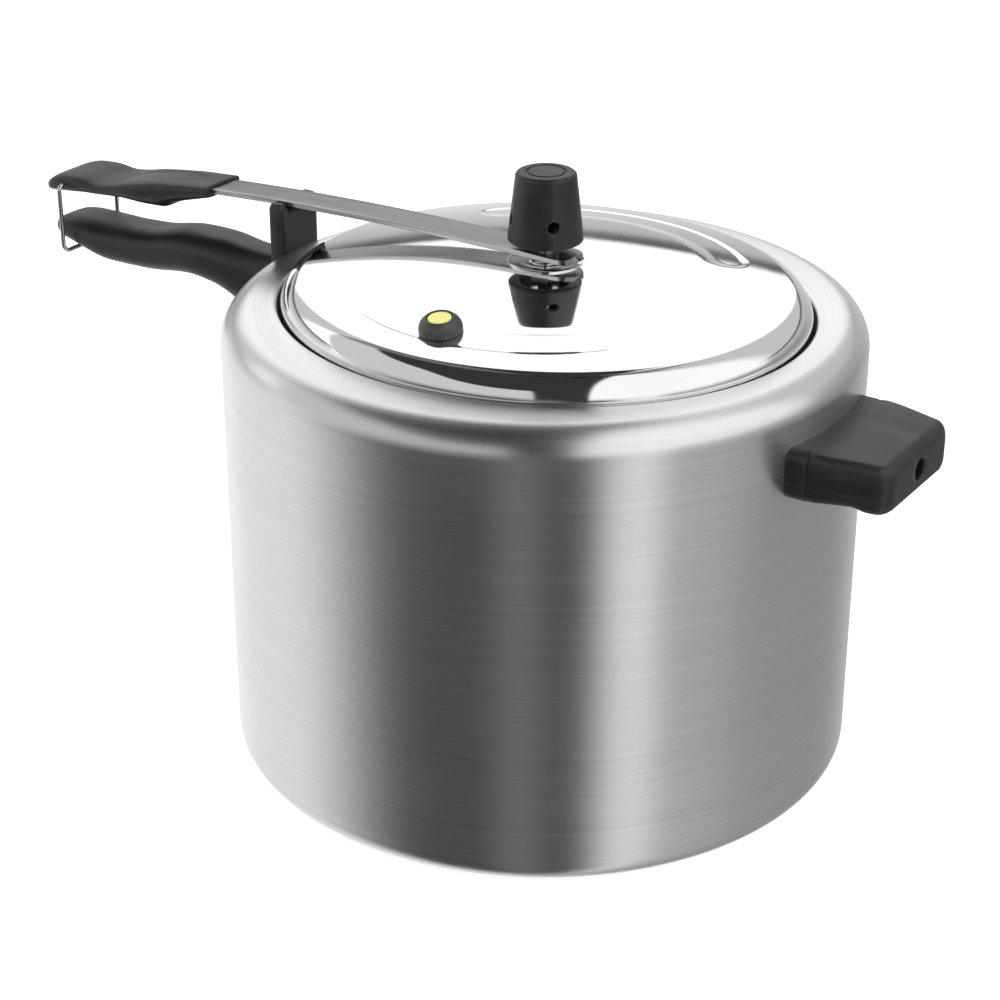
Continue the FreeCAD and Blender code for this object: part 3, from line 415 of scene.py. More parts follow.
def column(centre_x, centre_y, half_x, half_y, levels, power, count=64):
    """Upright rounded-square column; the half widths may differ at each level."""
    cosine, sine = superellipse(power, count)
    half_x = np.broadcast_to(np.asarray(half_x, float), (len(levels),))[:, None]
    half_y = np.broadcast_to(np.asarray(half_y, float), (len(levels),))[:, None]
    heights = np.repeat(np.asarray(levels, float)[:, None], count, axis=1)
    return np.stack([centre_x + half_x * cosine, centre_y + half_y * sine, heights], axis=-1)


EAR_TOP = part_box("long_handle")[1].z
POST_X = -126.25 * MM
POST_HALF = 3.75 * MM
SADDLE_Z = 206.16 * MM
post_levels = np.linspace(H - 36 * MM, EAR_TOP - 0.4 * MM, 30)
post_round = np.clip((EAR_TOP - 0.4 * MM - post_levels) / (1.6 * MM), 0, 1)
post_trim = 1.1 * MM * (1 - np.sqrt(1 - (1 - post_round) ** 2))
post = skin("post", capped(column(POST_X, 0.0, POST_HALF - 0.1 * MM - post_trim * 0.6,
                                  13.0 * MM - post_trim, post_levels, 7.0)))
SLOT_HALF = 8.4 * MM
slot_cut = skin("slot_cut", capped(column(POST_X, 0.0, 10 * MM, SLOT_HALF,
                                          np.linspace(SADDLE_Z, EAR_TOP + 10 * MM, 3), 40.0)))
carved(post, slot_cut)
cos_saddle, sin_saddle = around(48)
saddle_y = np.linspace(-SLOT_HALF - 1.5 * MM, SLOT_HALF + 1.5 * MM, 12)
saddle = skin("saddle", capped(np.stack([
    POST_X + (POST_HALF - 0.15 * MM) * np.repeat(cos_saddle[None], 12, axis=0),
    np.repeat(saddle_y[:, None], 48, axis=1),
    SADDLE_Z + (POST_HALF - 0.15 * MM) * np.repeat(-sin_saddle[None], 12, axis=0)], axis=-1)))
long_handle = joined("long_handle_moulding",
                     [skin("long_grip", capped(grip_rings)), post, saddle])
remesh = long_handle.modifiers.new("fuse", "REMESH")
remesh.mode = "VOXEL"
remesh.voxel_size = 0.62 * MM
soften = long_handle.modifiers.new("soften", "SMOOTH")
soften.factor = 0.5
soften.iterations = 3
applied(long_handle)
pot_plug = skin("pot_plug", lathe(np.concatenate([
    [(0, H - 70 * MM)],
    straight((POT_RADIUS - 0.5 * MM, H - 70 * MM), (POT_RADIUS - 0.5 * MM, H - SHOULDER), 3),
    bend((crest, H - SHOULDER), SHOULDER - 0.5 * MM, 0, 90, 16),
    [(0, H - 0.5 * MM)]]), *around(256)))
carved(long_handle, pot_plug)


def moulded(name, colour, rough_low, rough_high):
    """Moulded phenolic: fine pebble grain, long faint flow marks, edges rubbed lighter."""
    finish = Finish(name, colour, 0.0, rough_low, {"IOR": 1.52})
    grain = finish.noise(finish.place, 1500.0, 4.0, 0.6)
    flow = finish.noise(finish.stretched((25, 90, 90)), 1.0, 4.0)
    edge = finish.add("ShaderNodeNewGeometry").outputs["Pointiness"]
    worn = finish.spread(edge, 0.0, 1.0, 0.505, 0.56)
    finish.tint(finish.number("MULTIPLY_ADD", worn, 0.35, flow), colour,
                tuple(part * 2.0 + 0.008 for part in colour), 0.42, 1.05)
    finish.rough(finish.number("MULTIPLY_ADD", grain, 0.35, flow), rough_low, rough_high,
                 0.4, 0.9)
    finish.relief(grain, 0.03 * MM)
    finish.relief(flow, 0.10 * MM)
    return finish.material


black_phenolic = moulded("black_phenolic", (0.012, 0.012, 0.013), 0.30, 0.46)
long_handle.data.materials.clear()
long_handle.data.materials.append(black_phenolic)
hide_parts("long_handle")
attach(long_handle, "pot")


# -------------------------------------------------------------- side handle
# Moulded black phenolic lug with a collar against the wall, a groove under it for the
# fingers, and a sunk hole in its end for the screw.
SIDE_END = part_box("side_handle")[1].x
SIDE_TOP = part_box("side_handle")[1].z
SIDE_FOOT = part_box("side_handle")[0].z
SIDE_Z = H - 31.5 * MM
HOLE = 4.5 * MM
CORNER = 6.2 * MM
EDGE_ROUND = 5.0 * MM


def rounded_section(half_width, top, bottom, corner, count=40):
    """Rounded rectangle in Y and Z, the same number of points in each side and corner.

    The four sides are straight runs and the four corners quarter circles of radius corner.
    """
    quarter = np.linspace(0, np.pi / 2, 9)
    run = np.linspace(0, 1, count, endpoint=False)[1:]
    half_width, top, bottom, corner = (np.asarray(value, float)[..., None]
                                       for value in (half_width, top, bottom, corner))
    pieces_y = []
    pieces_z = []
    corners = [(1, 1, 0), (-1, 1, 1), (-1, -1, 2), (1, -1, 3)]
    for side_y, side_z, turn in corners:
        centre_y = side_y * (half_width - corner)
        centre_z = np.where(side_z > 0, top - corner, bottom + corner)
        angle = quarter + turn * np.pi / 2
        pieces_y.append(centre_y + corner * np.cos(angle))
        pieces_z.append(centre_z + corner * np.sin(angle))
    ring_y = []
    ring_z = []
    for number in range(4):
        after = (number + 1) % 4
        ring_y += [pieces_y[number],
                   pieces_y[number][..., -1:] * (1 - run) + pieces_y[after][..., :1] * run]
        ring_z += [pieces_z[number],
                   pieces_z[number][..., -1:] * (1 - run) + pieces_z[after][..., :1] * run]
    return np.concatenate(ring_y, axis=-1), np.concatenate(ring_z, axis=-1)


out = np.concatenate([
    np.array([-6, -4, -2, 0, 1, 2, 3, 3.8, 4.4, 4.8, 5.1, 5.4, 5.9, 6.5, 7.2, 8]) * MM,
    np.linspace(9 * MM, SIDE_END - POT_RADIUS - CORNER, 18),
    SIDE_END - POT_RADIUS - CORNER * (1 - np.sin(np.linspace(0.12, np.pi / 2, 14))),
])
side_half = eased(np.array([-8, 3.6, 4.4, 5.2, 29.5, 36]) * MM,
                  np.array([33.0, 33.0, 32.1, 32.6, 28.4, 27.6]) * MM, out)
near_end = np.clip((out - (SIDE_END - POT_RADIUS - CORNER)) / CORNER, 0, 1)
near_edge = np.clip((out - (SIDE_END - POT_RADIUS - EDGE_ROUND)) / EDGE_ROUND, 0, 1)
side_half -= CORNER * (1 - np.sqrt(1 - near_end ** 2))
side_top = eased(np.array([-8, 4.2, 7, 20, 32, 36]) * MM,
                 SIDE_TOP - np.array([0.0, 0.0, 0.0, 0.3, 0.9, 1.0]) * MM, out)
side_top -= EDGE_ROUND * (1 - np.sqrt(1 - near_edge ** 2)) * 0.8
side_foot = eased(np.array([-8, 4.2, 6.5, 12, 21, 27, 36]) * MM,
                  SIDE_FOOT + np.array([0.4, 0.4, 0.9, 1.6, 2.0, 0.5, 0.3]) * MM, out)
side_foot += EDGE_ROUND * (1 - np.sqrt(1 - near_edge ** 2)) * 0.7
side_corner = eased(np.array([-8, 4.2, 8, 28, 36]) * MM,
                    np.array([4.6, 4.6, 3.4, 3.6, 4.2]) * MM, out)
side_y, side_z = rounded_section(side_half, side_top, side_foot, side_corner)
wall_x = np.sqrt((POT_RADIUS - 0.8 * MM) ** 2 - side_y ** 2)
side_x = np.maximum(POT_RADIUS + out[:, None] + 0 * side_y, wall_x)
part_line = np.exp(-((side_z - (SIDE_Z - 2.5 * MM)) / (0.35 * MM)) ** 2)
side_y -= np.sign(side_y) * part_line * 0.22 * MM * (np.abs(side_y) > side_half[:, None] - 1.2 * MM)
side_rings = np.stack([side_x, side_y, side_z], axis=-1)
ring_size = side_rings.shape[1]
face = side_rings[-1]
hole_angle = np.arctan2(face[:, 2] - SIDE_Z, face[:, 1])
hole = np.stack([np.full(ring_size, SIDE_END), HOLE * np.cos(hole_angle),
                 SIDE_Z + HOLE * np.sin(hole_angle)], axis=-1)
share = np.linspace(0, 1, 6)[1:, None, None] ** 0.8
face_rings = face[None] * (1 - share) + hole[None] * share
depth = np.array([0.3, 1.0, 5.0, 11.0, 16.8])[:, None, None] * MM
sink_rings = hole[None] - depth * np.array([1.0, 0, 0])
sink_rings[0, :, 1:] = hole[:, 1:] * 0.97 + np.array([0, SIDE_Z]) * 0.03
sink_rings[1:, :, 1:] = hole[:, 1:] * 0.95 + np.array([0, SIDE_Z]) * 0.05
side_handle = skin("side_handle_moulding", capped(np.concatenate(
    [side_rings, face_rings, sink_rings])))
side_handle.data.materials.append(black_phenolic)
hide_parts("side_handle")
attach(side_handle, "pot")


# --------------------------------------------------------------------- lid
# Pressed aluminium lid, slightly larger than the opening, so it seals from below.  Its
# dome is mirror polished, with two kidney panels pressed in beside the strap.
LID_WALL = OPEN_LONG - 1.2 * MM
CREASE = OPEN_LONG - 9.1 * MM
CREASE_Z = H + 9.5 * MM
LID_TOP = CREASE_Z + 8.0 * MM
FLAT = 10.0 * MM
SHEET = 2.0 * MM
RIM_TOP = 184.3 * MM
RIM_OUT = OPEN_LONG + 6.9 * MM
OVAL = OPEN_SHORT / OPEN_LONG
DOME = ((CREASE - FLAT) ** 2 + (LID_TOP - CREASE_Z) ** 2) / (2 * (LID_TOP - CREASE_Z))
PANEL_MID = (CREASE * OVAL - 20 * MM)
PANEL_HALF = 10 * MM
PANEL_SPAN = math.radians(46)
PANEL_DEPTH = 0.6 * MM


def dome_height(radius):
    """Height of the lid's outer skin: flat centre, then an arc down to the crease."""
    beyond = np.maximum(radius - FLAT, 0)
    return LID_TOP - DOME + np.sqrt(DOME ** 2 - beyond ** 2)


def smooth_step(value):
    """0 below 0, 1 above 1, and 3v^2 - 2v^3 between."""
    value = np.clip(value, 0, 1)
    return value * value * (3 - 2 * value)


def panel_sink(x, y):
    """Depth of the kidney panels: full within an arc-shaped band, fading at its edge.

    The distance to the band's centre line, less its half width, is taken on one quarter.
    The edge is crisp on the band's outer side and soft on its inner side.
    """
    radius = np.hypot(x, y)
    angle = np.abs(np.arctan2(x, np.abs(y)))
    end_x = PANEL_MID * np.sin(PANEL_SPAN)
    end_y = PANEL_MID * np.cos(PANEL_SPAN)
    beyond = np.hypot(np.abs(x) - end_x, np.abs(y) - end_y)
    distance = np.where(angle < PANEL_SPAN, np.abs(radius - PANEL_MID), beyond) - PANEL_HALF
    soft = 2.4 * MM + 7.4 * MM * smooth_step((PANEL_MID + 6 * MM - radius) / (14 * MM))
    return PANEL_DEPTH * smooth_step(-distance / soft)


cos_lid, sin_lid = around(420)
top_radius = np.concatenate([
    np.linspace(4.05 * MM, 58 * MM, 24)[:-1],
    np.linspace(58 * MM, CREASE - 1.2 * MM, 50),
])
BEAD = 11.5 * MM
BEAD_START = math.acos((CREASE - LID_WALL + BEAD) / BEAD)
bead_centre = (LID_WALL - BEAD, CREASE_Z - BEAD * math.sin(BEAD_START))
bead_line = bend(bead_centre, BEAD, math.degrees(BEAD_START), 0, 24)
top_line = np.stack([top_radius, dome_height(top_radius)], axis=1)
wall_line = np.concatenate([
    straight((LID_WALL, bead_centre[1] - 1 * MM), (LID_WALL, RIM_TOP + 1.2 * MM), 5),
    bend((LID_WALL + 1.2 * MM, RIM_TOP + 1.2 * MM), 1.2 * MM, 180, 270, 5),
    straight((LID_WALL + 3 * MM, RIM_TOP), (RIM_OUT - 1.6 * MM, RIM_TOP), 3),
    [(RIM_OUT - 1.6 * MM, RIM_TOP + 2.0 * MM), (RIM_OUT - 1.3 * MM, RIM_TOP + 2.2 * MM),
     (RIM_OUT - 0.3 * MM, RIM_TOP + 2.2 * MM), (RIM_OUT, RIM_TOP + 2.0 * MM),
     (RIM_OUT, RIM_TOP - 1.5 * MM), (RIM_OUT - 0.5 * MM, RIM_TOP - SHEET)],
    straight((RIM_OUT - 1.5 * MM, RIM_TOP - SHEET),
             (LID_WALL - SHEET + 1 * MM, RIM_TOP - SHEET), 4),
    straight((LID_WALL - SHEET, RIM_TOP - SHEET + 1 * MM),
             (LID_WALL - SHEET, bead_centre[1] - 1 * MM), 5),
    bend(bead_centre, BEAD - SHEET, 0, math.degrees(BEAD_START), 10),
])
under_radius = np.concatenate([np.linspace(CREASE - 1.6 * MM, 58 * MM, 30),
                               np.linspace(57 * MM, 4.05 * MM, 14)])
under_line = np.stack([under_radius, dome_height(under_radius) - SHEET], axis=1)
lid_line = np.concatenate([top_line, bead_line, wall_line, under_line])
lid_rings = lathe(lid_line, cos_lid, sin_lid, OVAL)
dish = panel_sink(lid_rings[..., 0], lid_rings[..., 1])
on_dome = lid_line[:, 1] > CREASE_Z - 3.5 * MM
lid_rings[..., 2] -= dish * on_dome[:, None]
lid = skin("polished_lid", lid_rings[::-1], closed=True, run=arc_length(lid_line)[::-1])


def polished(name, colour, rough_low, rough_high, ripple):
    """Buffed metal: mirror with a faint haze of fine swirls and a shallow ripple."""
    finish = Finish(name, colour, 1.0, rough_low)
    haze = finish.noise(finish.place, 28.0, 5.0, 0.6)
    hairs = finish.noise(finish.stretched((900, 70, 300)), 1.0, 3.0, 0.7)
    swell = finish.noise(finish.place, 17.0, 2.0, 0.4)
    finish.tint(haze, tuple(part * 0.96 for part in colour), colour)
    finish.rough(finish.number("MULTIPLY_ADD", hairs, 0.3, haze), rough_low, rough_high,
                 0.45, 0.85)
    finish.relief(swell, ripple)
    finish.relief(hairs, 0.0012 * MM)
    return finish.material


mirror_aluminium = polished("mirror_aluminium", (0.93, 0.93, 0.925), 0.03, 0.09, 0.15 * MM)
lid.data.materials.append(mirror_aluminium)
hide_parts("lid")
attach(lid, "lid")


# --------------------------------------------------- gasket and stem's seal
# Extruded black rubber ring that lies in the lid's rim, and the flat washer that seals
# the stem under the lid.
def rubber(name, colour, rough_low, rough_high):
    """Moulded rubber: matt, with a little bloom and a fine grain."""
    finish = Finish(name, colour, 0.0, rough_low, {"IOR": 1.5})
    bloom = finish.noise(finish.place, 90.0, 5.0, 0.6)
    grain = finish.noise(finish.place, 1800.0, 3.0)
    finish.tint(bloom, colour, tuple(min(part * 1.5 + 0.01, 1) for part in colour), 0.4, 0.75)
    finish.rough(bloom, rough_low, rough_high)
    finish.relief(grain, 0.02 * MM)
    return finish.material


gasket_rubber = rubber("gasket_rubber", (0.018, 0.018, 0.019), 0.5, 0.68)
dress(gasket_rubber, "gasket", "stem_seal")


# ------------------------------------------- vent stem, its disc and its nut
# Turned brass stem, nickel plated, that stands on a polished disc at the lid's centre.
bright_nickel = polished("bright_nickel", (0.80, 0.79, 0.76), 0.08, 0.18, 0.02 * MM)
dress(bright_nickel, "vent_stem", "weight_core")

DISC_LOW, DISC_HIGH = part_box("lid_disc")
disc_edge = DISC_HIGH.x
disc_line = np.concatenate([
    [(4.02 * MM, DISC_LOW.z)],
    [(disc_edge - 0.1 * MM, DISC_LOW.z)],
    bend((disc_edge - 0.35 * MM, DISC_LOW.z + 0.3 * MM), 0.3 * MM, -60, 80, 6),
    [(disc_edge - 1.5 * MM, DISC_HIGH.z - 0.02 * MM), (disc_edge - 3 * MM, DISC_HIGH.z),
     (9 * MM, DISC_HIGH.z), (8.6 * MM, DISC_HIGH.z - 0.12 * MM), (8.2 * MM, DISC_HIGH.z),
     (4.02 * MM, DISC_HIGH.z)],
])
disc = skin("polished_disc", lathe(disc_line, *around(96)), closed=True)
disc.data.materials.append(mirror_aluminium)
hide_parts("lid_disc")
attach(disc, "lid")


# ------------------------------------------------------------- safety plug
# Dark rubber plug pushed through the front panel, with a yellow centre.  It stands square
# on the dome, so its turned profile is tilted with the lid's slope.
PLUG_FALL = PANEL_MID / OVAL - FLAT
PLUG_RISE = math.sqrt(DOME ** 2 - PLUG_FALL ** 2)
PLUG_TILT = math.atan(PLUG_FALL / PLUG_RISE / OVAL)
PLUG_Z = LID_TOP - DOME + PLUG_RISE - PANEL_DEPTH


def on_panel(profile, count=96):
    """Rings of a turned profile stood on the front panel: tilted about X, then moved."""
    rings = lathe(np.asarray(profile, float) * MM, *around(count))
    x, y, z = np.moveaxis(rings, -1, 0)
    tilted_y = y * math.cos(PLUG_TILT) - z * math.sin(PLUG_TILT)
    tilted_z = y * math.sin(PLUG_TILT) + z * math.cos(PLUG_TILT)
    return np.stack([x, tilted_y - PANEL_MID, tilted_z + PLUG_Z], axis=-1)


plug_profile = np.concatenate([
    [(0, -7), (4.4, -7)], bend((4.6, -6.5), 0.5, -90, 0, 4), [(6.2, -3.6), (6.4, -3.2)],
    [(6.4, -2.2), (6.2, -2.02), (3.55, -2.02), (3.55, 0.02), (8.1, 0.02)],
    bend((8.2, 0.28), 0.26, -60, 0, 4),
    [(4.2 + 4.26 * math.cos(turn), 1.0 + 4.9 * math.sin(turn))
     for turn in np.radians(np.linspace(2, 66, 13))],
    bend((5.5, 5.42), 0.42, 55, 180, 8), [(4.85, 5.0), (4.8, 4.7), (0, 4.7)],
])
plug_ring = skin("safety_plug_rubber", on_panel(plug_profile))
plug_rubber = rubber("plug_rubber", (0.045, 0.047, 0.045), 0.26, 0.4)
plug_ring.data.materials.append(plug_rubber)
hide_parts("safety_plug")
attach(plug_ring, "lid")

insert_profile = np.concatenate([
    [(0, 4.65), (4.5, 4.65), (4.62, 5.0)], bend((4.22, 5.24), 0.4, 0, 80, 5),
    [(3.7, 5.66), (3.5, 5.6), (3.2, 5.56), (1.2, 5.54), (0, 5.54)],
])
insert = skin("safety_insert_yellow", on_panel(insert_profile, 64))
insert_yellow = rubber("insert_yellow", (0.98, 0.89, 0.26), 0.36, 0.5)
insert.data.materials.append(insert_yellow)
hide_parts("safety_insert")
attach(insert, "lid")


# ------------------------------------------------------------------- strap
# Spring steel strip, bowed upwards, that hangs the lid from the fulcrum post.  Its inner
# end is a rounded tongue past the stem, and its outer end runs inside the lid's grip.
STRAP_HALF = 8.0 * MM
STRAP_THICK = 2.4 * MM
BOW = 1.838
APEX_X = -50 * MM
BOW_Z = LID_TOP + 3.3 * MM - BOW
STRAP_EDGE = 0.45 * MM
GRIP_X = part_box("lid_grip")[1].x
STRAP_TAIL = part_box("strap")[0].x
STRAP_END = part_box("strap")[1].x - 0.2 * MM
LIP_START = 9.5 * MM
LIP_RISE = 1.5 * MM
TAIL_FALL = 10.4 * MM
STEM_HOLE = 4.6 * MM


def bow_height(x, rise=0.0):
    """Height of the strap's arc at x, the underside raised by rise."""
    return BOW_Z + np.sqrt((BOW + rise) ** 2 - (x - APEX_X) ** 2)


bow_x = np.linspace(GRIP_X, LIP_START, 90)
bow_z = bow_height(bow_x, STRAP_THICK / 2)
tail_share = np.linspace(0, 1, 12)[:-1]
tail_x = STRAP_TAIL + (GRIP_X - STRAP_TAIL) * tail_share + 0.1 * MM
tail_z = bow_z[0] - TAIL_FALL * (1 - tail_share)
lip_share = np.linspace(0, 1, 26)[1:]
lip_x = LIP_START + (STRAP_END - LIP_START) * np.sin(lip_share * np.pi / 2)
lip_z = bow_z[-1] - 0.1 * MM * lip_share + LIP_RISE * smooth_step(lip_share - 0.35)
path = np.concatenate([np.stack([tail_x, tail_z], axis=1), np.stack([bow_x, bow_z], axis=1),
                       np.stack([lip_x, lip_z], axis=1)])
tongue = np.sqrt(1 - np.clip((path[:, 0] - 8.0 * MM) / (STRAP_END - 7.9 * MM), 0, 1) ** 2)
heading = np.gradient(path, axis=0)
heading /= np.linalg.norm(heading, axis=1, keepdims=True)
strap_y, strap_up = rounded_section(np.array([STRAP_HALF - 0.02 * MM]),
                                    np.array([STRAP_THICK / 2 - 0.01 * MM]),
                                    np.array([-STRAP_THICK / 2 + 0.01 * MM]),
                                    np.array([STRAP_EDGE]), 5)
strap_rings = np.stack([path[:, :1] - heading[:, 1:] * strap_up,
                        strap_y * tongue[:, None],
                        path[:, 1:] + heading[:, :1] * strap_up], axis=-1)
strap = skin("strap_steel", capped(strap_rings[::-1]))
stem_way = skin("stem_way", capped(column(0.0, 0.0, STEM_HOLE, STEM_HOLE,
                                          [LID_TOP - 2 * MM, LID_TOP + 12 * MM], 2.0, 48)[::-1]))
carved(strap, stem_way)


def drawn(name, colour, rough_low, rough_high):
    """Rolled and buffed steel: hairlines along X and scuffs; painted shade darkens the faces and
    painted highlight brightens the edges.
    """
    finish = Finish(name, colour, 1.0, rough_low)
    hairs = finish.noise(finish.stretched((14, 1600, 1600)), 1.0, 4.0, 0.65)
    scuffs = finish.noise(finish.stretched((70, 260, 260)), 1.0, 5.0, 0.7)
    across = finish.add("ShaderNodeSeparateXYZ")
    finish.join(finish.place, across.inputs["Vector"])
    # Painted shade and highlight: the base colour is dark across the strip's faces and bright along
    # its two edges, in place of reflections.
    edge = finish.spread(finish.number("ABSOLUTE", across.outputs["Y"]), 0.0, 1.0,
                         STRAP_HALF - 0.7 * MM, STRAP_HALF - 0.3 * MM)
    painted_shade_and_hairlines = finish.number("MULTIPLY_ADD", edge, 0.72, 0.28)
    painted_shade_and_hairlines = finish.number("MULTIPLY", painted_shade_and_hairlines, finish.spread(hairs, 0.5, 1.2))
    finish.tint(painted_shade_and_hairlines, (0, 0, 0), colour, 0.0, 1.0)
    finish.rough(finish.number("MULTIPLY_ADD", hairs, 0.5, finish.number("MULTIPLY", scuffs, 0.5)),
                 rough_low, rough_high)
    finish.relief(hairs, 0.006 * MM)
    finish.relief(scuffs, 0.02 * MM)
    return finish.material


strap_steel = drawn("strap_steel", (0.92, 0.92, 0.925), 0.16, 0.30)
strap.data.materials.clear()
strap.data.materials.append(strap_steel)
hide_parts("strap")
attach(strap, "lever")


# ---------------------------------------------------------------- lid grip
# Moulded black phenolic grip on the strap's end: keeled underneath so that it nests on
# the long handle, raised at the tail, with a plain oval panel sunk in its top.
GRIP_Z = float(bow_height(GRIP_X))
GRIP_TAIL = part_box("lid_grip")[0].x
GRIP_LENGTH = GRIP_X - GRIP_TAIL
GRIP_TAIL_ROUND = 7 * MM
NOSE_ROUND = 1.2 * MM
LID_GRIP_COUNT = 112
back = np.concatenate([
    GRIP_TAIL_ROUND * (1 - np.cos(np.linspace(0, np.pi / 2, 12)))[:-1],
    np.linspace(GRIP_TAIL_ROUND, GRIP_LENGTH - NOSE_ROUND, 84),
    GRIP_LENGTH - NOSE_ROUND * (1 - np.sin(np.linspace(0.2, np.pi / 2, 6))),
])
nose_round = np.clip((back - (GRIP_LENGTH - NOSE_ROUND)) / NOSE_ROUND, 0, 1)
nose_trim = 1.1 * MM * (1 - np.sqrt(1 - nose_round ** 2))
upper = GRIP_Z + eased(np.array([0, 3, 8, 14, 22, 32, 41, 50, 72, 94]) * MM,
                       np.array([-11.6, -8.6, -5.4, -4.0, -3.6, -4.8, -3.6, -1.5, 2.0, 3.8]) * MM,
                       back) - nose_trim
lower = GRIP_Z + eased(np.array([0, 3, 14, 30, 46, 60, 66, 72, 94]) * MM,
                       np.array([-12.8, -13.5, -12.6, -10.8, -9.9, -11.3, -11.3, -8.4, -1.6]) * MM,
                       back) + nose_trim * 0.5
grip_half = eased(np.array([0, 3, 7, 14, 48, 72, 94]) * MM,
                  np.array([8.6, 12.6, 14.8, 15.5, 15.5, 13.8, 12.0]) * MM, back) - nose_trim
keel = eased(np.array([0, 14, 46, 60, 66, 82, 94]) * MM,
             np.array([0.1, 0.25, 0.35, 0.7, 0.75, 0.5, 0.2]), back)[:, None]
grip_cos, grip_sin = superellipse(4.2, LID_GRIP_COUNT)
shaped = grip_half[:, None] * grip_cos * (1 - 0.45 * keel * np.clip(-grip_sin, 0, 1) ** 1.6)
level = ((upper + lower) / 2)[:, None] + ((upper - lower) / 2)[:, None] * grip_sin
OVAL_PLACE, OVAL_LONG, OVAL_WIDE, OVAL_DEPTH = 63 * MM, 25 * MM, 8.4 * MM, 0.45 * MM
oval_far = ((back - OVAL_PLACE)[:, None] / OVAL_LONG) ** 2 + (shaped / OVAL_WIDE) ** 2
level -= smooth_step((1.0 - oval_far) / 0.22) * (grip_sin > 0) * OVAL_DEPTH
lid_grip = skin("lid_grip_moulding", capped(np.stack([
    np.repeat((GRIP_TAIL + back)[:, None], LID_GRIP_COUNT, axis=1), shaped, level], axis=-1)))
lid_grip.data.materials.append(black_phenolic)
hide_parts("lid_grip")
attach(lid_grip, "lever")


# -------------------------------------------------------------------- bail
# Bright steel wire bent into a stirrup.  Its two ends turn into the grip's sides, and its
# cross run hooks under the long handle's tail to hold the lever down.
WIRE = 1.0 * MM
bail_low, bail_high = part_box("bail")
PIVOT_X = (bail_low.x + bail_high.x) / 2
PIVOT_Z = 200 * MM
LEG = 18.4 * MM
CROSS_Z = PIVOT_Z - 30.5 * MM
PIN_END = 8.6 * MM
TOP_BEND = 2.2 * MM
FOOT_BEND = 4.0 * MM
near_side = np.concatenate([
    straight((-PIN_END, PIVOT_Z), (-LEG + TOP_BEND, PIVOT_Z), 6),
    bend((-LEG + TOP_BEND, PIVOT_Z - TOP_BEND), TOP_BEND, 90, 180, 12),
    straight((-LEG, PIVOT_Z - TOP_BEND - 0.5 * MM), (-LEG, CROSS_Z + FOOT_BEND + 0.5 * MM), 14),
    bend((-LEG + FOOT_BEND, CROSS_Z + FOOT_BEND), FOOT_BEND, 180, 270, 12),
    straight((-LEG + FOOT_BEND + 0.5 * MM, CROSS_Z), (0, CROSS_Z), 10),
])
far_side = near_side[::-1] * [-1, 1]
wire_line = np.concatenate([near_side, [(0, CROSS_Z)], far_side])
wire_heading = np.gradient(wire_line, axis=0)
wire_heading /= np.linalg.norm(wire_heading, axis=1, keepdims=True)
cos_wire, sin_wire = around(20)
wire_rings = np.stack([
    np.repeat(PIVOT_X + WIRE * cos_wire[None], len(wire_line), axis=0),
    wire_line[:, :1] - wire_heading[:, 1:] * WIRE * sin_wire,
    wire_line[:, 1:] + wire_heading[:, :1] * WIRE * sin_wire], axis=-1)
bail = skin("bail_wire", capped(wire_rings), run=np.concatenate(
    [[0], arc_length(wire_line), [0.2]]))
bright_wire = plated("bright_wire", (0.78, 0.78, 0.78), 0.14, 0.26, 700.0)
bail.data.materials.append(bright_wire)
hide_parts("bail")
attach(bail, "bail")


# ------------------------------------------------------------------ weight
# Moulded black phenolic cap over a turned core, with four ports for the steam low down
# and a plain ring sunk in its top.
cap_low, cap_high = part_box("weight_cap")
CAP_FOOT = cap_high.x
CAP_TOP_RADIUS = 12.1 * MM
CAVITY = 10.4 * MM
PORT = 2.5 * MM
PORT_Z = cap_low.z + 9.3 * MM
CAVITY_TOP = cap_high.z - 4.5 * MM
cap_shoulder = cap_high.z - 2.0 * MM
cap_line = np.concatenate([
    [(CAVITY, CAVITY_TOP), (CAVITY, cap_low.z + 0.6 * MM),
     (CAVITY + 0.5 * MM, cap_low.z + 0.1 * MM), (CAVITY + 1.0 * MM, cap_low.z)],
    bend((CAP_FOOT - 0.8 * MM, cap_low.z + 0.8 * MM), 0.78 * MM, -90, 0, 7),
    straight((CAP_FOOT - 0.05 * MM, cap_low.z + 1.6 * MM),
             (CAP_TOP_RADIUS + 0.2 * MM, cap_shoulder), 22),
    bend((CAP_TOP_RADIUS - 1.7 * MM, cap_shoulder + 0.05 * MM), 1.9 * MM, 5, 90, 10),
    straight((9.4 * MM, cap_high.z), (8.2 * MM, cap_high.z), 3),
    bend((7.6 * MM, cap_high.z), 0.6 * MM, 0, -180, 9),
    straight((6.6 * MM, cap_high.z), (0, cap_high.z), 5),
    [(0, cap_high.z), (0, CAVITY_TOP)],
])
cap_rings = lathe(cap_line, *around(128))
cap = skin("weight_cap_moulding", cap_rings, closed=True)
bit_cos, bit_sin = around(40)
for quarter in range(2):
    angle = math.radians(45 + 90 * quarter)
    along = np.array([-1.3, -0.6, 0.6, 1.3])[:, None] * CAP_FOOT
    bit = np.stack([
        along * math.cos(angle) - PORT * bit_cos * math.sin(angle),
        along * math.sin(angle) + PORT * bit_cos * math.cos(angle),
        PORT_Z + PORT * bit_sin + 0 * along], axis=-1)
    carved(cap, skin("port_bit", capped(bit)))
cap.data.materials.clear()
cap.data.materials.append(black_phenolic)
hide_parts("weight_cap")
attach(cap, "weight")


# ------------------------------------------------------------------ studio
# Plain pale floor and a white sweep.  Soft boxes round the pot draw the upright light and
# dark bands on its wall; bright walls above them, with a dark gap between, fill the lid.
CAMERA_BEARING = 58.1


